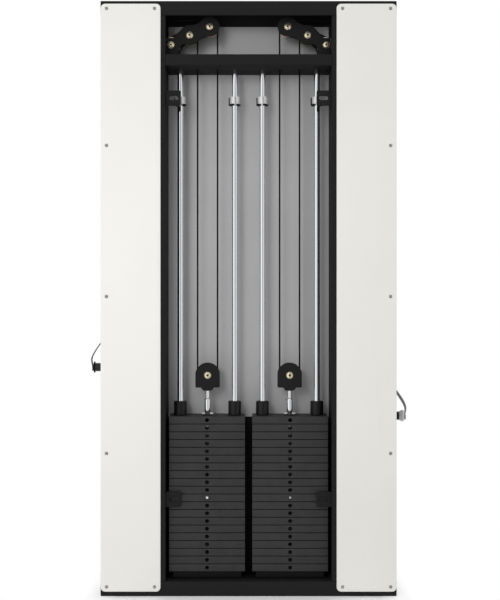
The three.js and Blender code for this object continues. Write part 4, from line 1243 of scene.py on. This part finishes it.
for side in SIDES:
    left = side == "left"
    middle = centre(f"{side}_carriage")[2]
    dress = dresser(side, "carriage", (0, 0, middle))
    dress("carriage_sleeve", carriage_sleeve(), "frame", "carriage")
    dress("sleeve_liners", sleeve_liners(), "knob")
    dress("carriage_arm", carriage_arm(), "frame")
    dress("carriage_cheeks", carriage_cheeks(), "frame")
    dress("plunger_boss", plunger_boss(), "zinc")
    places = [(CABLE_X, y, z) for y, z in WHEEL_PLACES.values()]
    dress("carriage_bolt_heads", copies(spun(bolt_heads(CHEEK), "Z", -90), places), "brass")
    dress("carriage_shafts", copies(spun(bolt_shank(CHEEK), "Z", -90), places), "zinc")
    for name, (y, z) in WHEEL_PLACES.items():
        wheel = spun(sheave(GROOVE, RIM), "Z", 90)
        show_wheel(side, f"carriage_{name}", wheel, (CABLE_X, y, z + middle))
    tip = limits(f"{side}_plunger")[0].y
    on_plunger = dresser(side, "plunger", (RAIL.x, tip, middle))
    on_plunger("plunger_pin", plunger_pin(), "chrome", "plunger")
    on_plunger("plunger_knob", plunger_knob(), "knob")
    dress("carriage_run", carriage_run(), "cable", "carriage_cable")
    dress("stop_ball", stop_ball(), "rubber")
    dress("swivel_fork", swivel_fork(), "zinc")

    # The photograph shows the right strap a little thicker, further out and twisted.
    line = strap_line(90 if left else 92)
    twist, thickness = (0, 2.2) if left else (24, 2.8)
    hang = middle + PIVOT
    dress = dresser(side, "handle", (CABLE_X, REACH, hang))
    band = swept(strap_frames(line, twist), strap_section(26, thickness))
    dress("strap_band", band, "strap", "handle_strap", 50)
    patches = joined(*(patch(line, *ends) for ends in ((0.36, 0.64), (0.0, 0.12), (0.88, 1.0))))
    dress("strap_patches", patches, "strap", crease=50)
    rows = joined(stitches(line, 0.37, 0.46), stitches(line, 0.54, 0.63))
    dress("strap_stitches", rows, "thread", crease=60)
    dress("handle_ring", ring_wire(), "chrome")
    dress = dresser(side, "handle", (CABLE_X, REACH, hang - GRIP_DROP))
    dress("handle_core", bar(7, (-88.4, 88.4), "x", sides=40, chamfer=0.6), "chrome")
    dress("handle_foot_bolts", both_ends(button_head(5.5, 1.8, 3), 91.4, "x", 30), "rubber")
    dress = dresser(side, "grip", (CABLE_X, REACH, hang - GRIP_DROP))
    dress("grip_sleeve", grip_sleeve(), "grip", "handle_grip")
    # The left caps are black and the right ones pale: the left caps' black is painted shade.
    caps = grip_caps(80.4, 82.6, 86.4) if left else grip_caps(70, 80.6, 88.2)
    dress("grip_caps", caps, "knob" if left else "cap")


# Stage: a pale floor that fades into the white surround, and soft lamps
def panorama(tree, tones):
    """A background whose brightness follows the compass: degrees, with 0 towards the open rear."""
    place = axes(tree, "Generated")
    turn = maths(tree, "ARCTAN2", place["X"], maths(tree, "MULTIPLY", place["Y"], -1))
    ramp = tree.nodes.new("ShaderNodeValToRGB")
    fill(tree, ramp, {"Fac": spread(tree, turn, 0, 1, -pi, pi)})
    stops = ramp.color_ramp.elements
    for stop, (degrees, tone) in zip([stops[0], stops[1]], (tones[0], tones[-1])):
        stop.position, stop.color = degrees / 360 + 0.5, (tone, tone, tone, 1)
    for degrees, tone in tones[1:-1]:
        stops.new(degrees / 360 + 0.5).color = (tone, tone, tone, 1)
    return node(tree, "Background", {"Color": ramp.outputs["Color"], "Strength": 1})


# What glossy rays see gives the chrome its bands, and what the other rays see lights the object.
MIRRORED = [(-180, 0.5), (-110, 0.15), (-80, 0.45), (-56, 1), (-5, 1), (4, 0.2), (24, 0.2)]
MIRRORED += [(36, 0.9), (95, 0.9), (120, 0.5), (180, 0.5)]
LIGHT = [(-180, 0.7), (-60, 0.82), (45, 0.53), (72, 0.85), (105, 1), (180, 0.7)]
WHITE = (1, 1, 1, 1)
world = bpy.data.worlds.new("surround")
scene.world = world
world.use_nodes = True
tree = world.node_tree
tree.nodes.clear()
path = tree.nodes.new("ShaderNodeLightPath").outputs
direct = maths(tree, "MAXIMUM", path["Is Camera Ray"], path["Is Transmission Ray"])
unseen = blended(tree, path["Is Glossy Ray"], panorama(tree, LIGHT), panorama(tree, MIRRORED))
seen = node(tree, "Background", {"Color": WHITE, "Strength": 1})
whole = blended(tree, direct, unseen, seen)
fill(tree, tree.nodes.new("ShaderNodeOutputWorld"), {"Surface": whole})

floor_mesh = bmesh.new()
bmesh.ops.create_circle(floor_mesh, cap_ends=True, segments=64, radius=3.2)
floor = placed("floor", as_data(floor_mesh, "floor"))
floor.location.z = -0.0004
pale, tree, shader = shader_of("floor_pale")
fill(tree, shader, {
    "Base Color": (0.85, 0.85, 0.85, 1),
    "Roughness": 0.6,
    "Specular IOR Level": 0.1,
    "Emission Color": WHITE,
    "Emission Strength": 0.12,
})
place = axes(tree, "Object")
shares = [
    spread(tree, maths(tree, "ABSOLUTE", place[axis]), 1, 0, near, far)
    for axis, near, far in (("X", 0.46, 0.58), ("Y", 0.1, 0.8))
]
clear = node(tree, "BsdfTransparent")
faded = blended(tree, maths(tree, "MULTIPLY", *shares), clear, shader.outputs[0])
fill(tree, tree.nodes["Material Output"], {"Surface": faded})
floor.data.materials.append(pale)


def lamp(name, place, target, size, watts, spread_angle=180):
    data = bpy.data.lights.new(name, "AREA")
    data.spread = radians(spread_angle)
    data.shape = "SQUARE"
    data.size = size
    data.energy = watts
    made = placed(name, data)
    made.visible_glossy = False
    made.location = place
    made.rotation_euler = (Vector(target) - Vector(place)).to_track_quat("-Z", "Y").to_euler()


lamp("key", (-1.3, -3.8, 2.3), (0, 0, 1.0), 1.1, 40)
lamp("near_left", (-0.7, -3.0, 1.4), (-0.6, 0, 1.1), 0.6, 1.3, 60)
lamp("front_key", (2.2, 4.0, 2.6), (0, 0, 1.0), 2.2, 40)
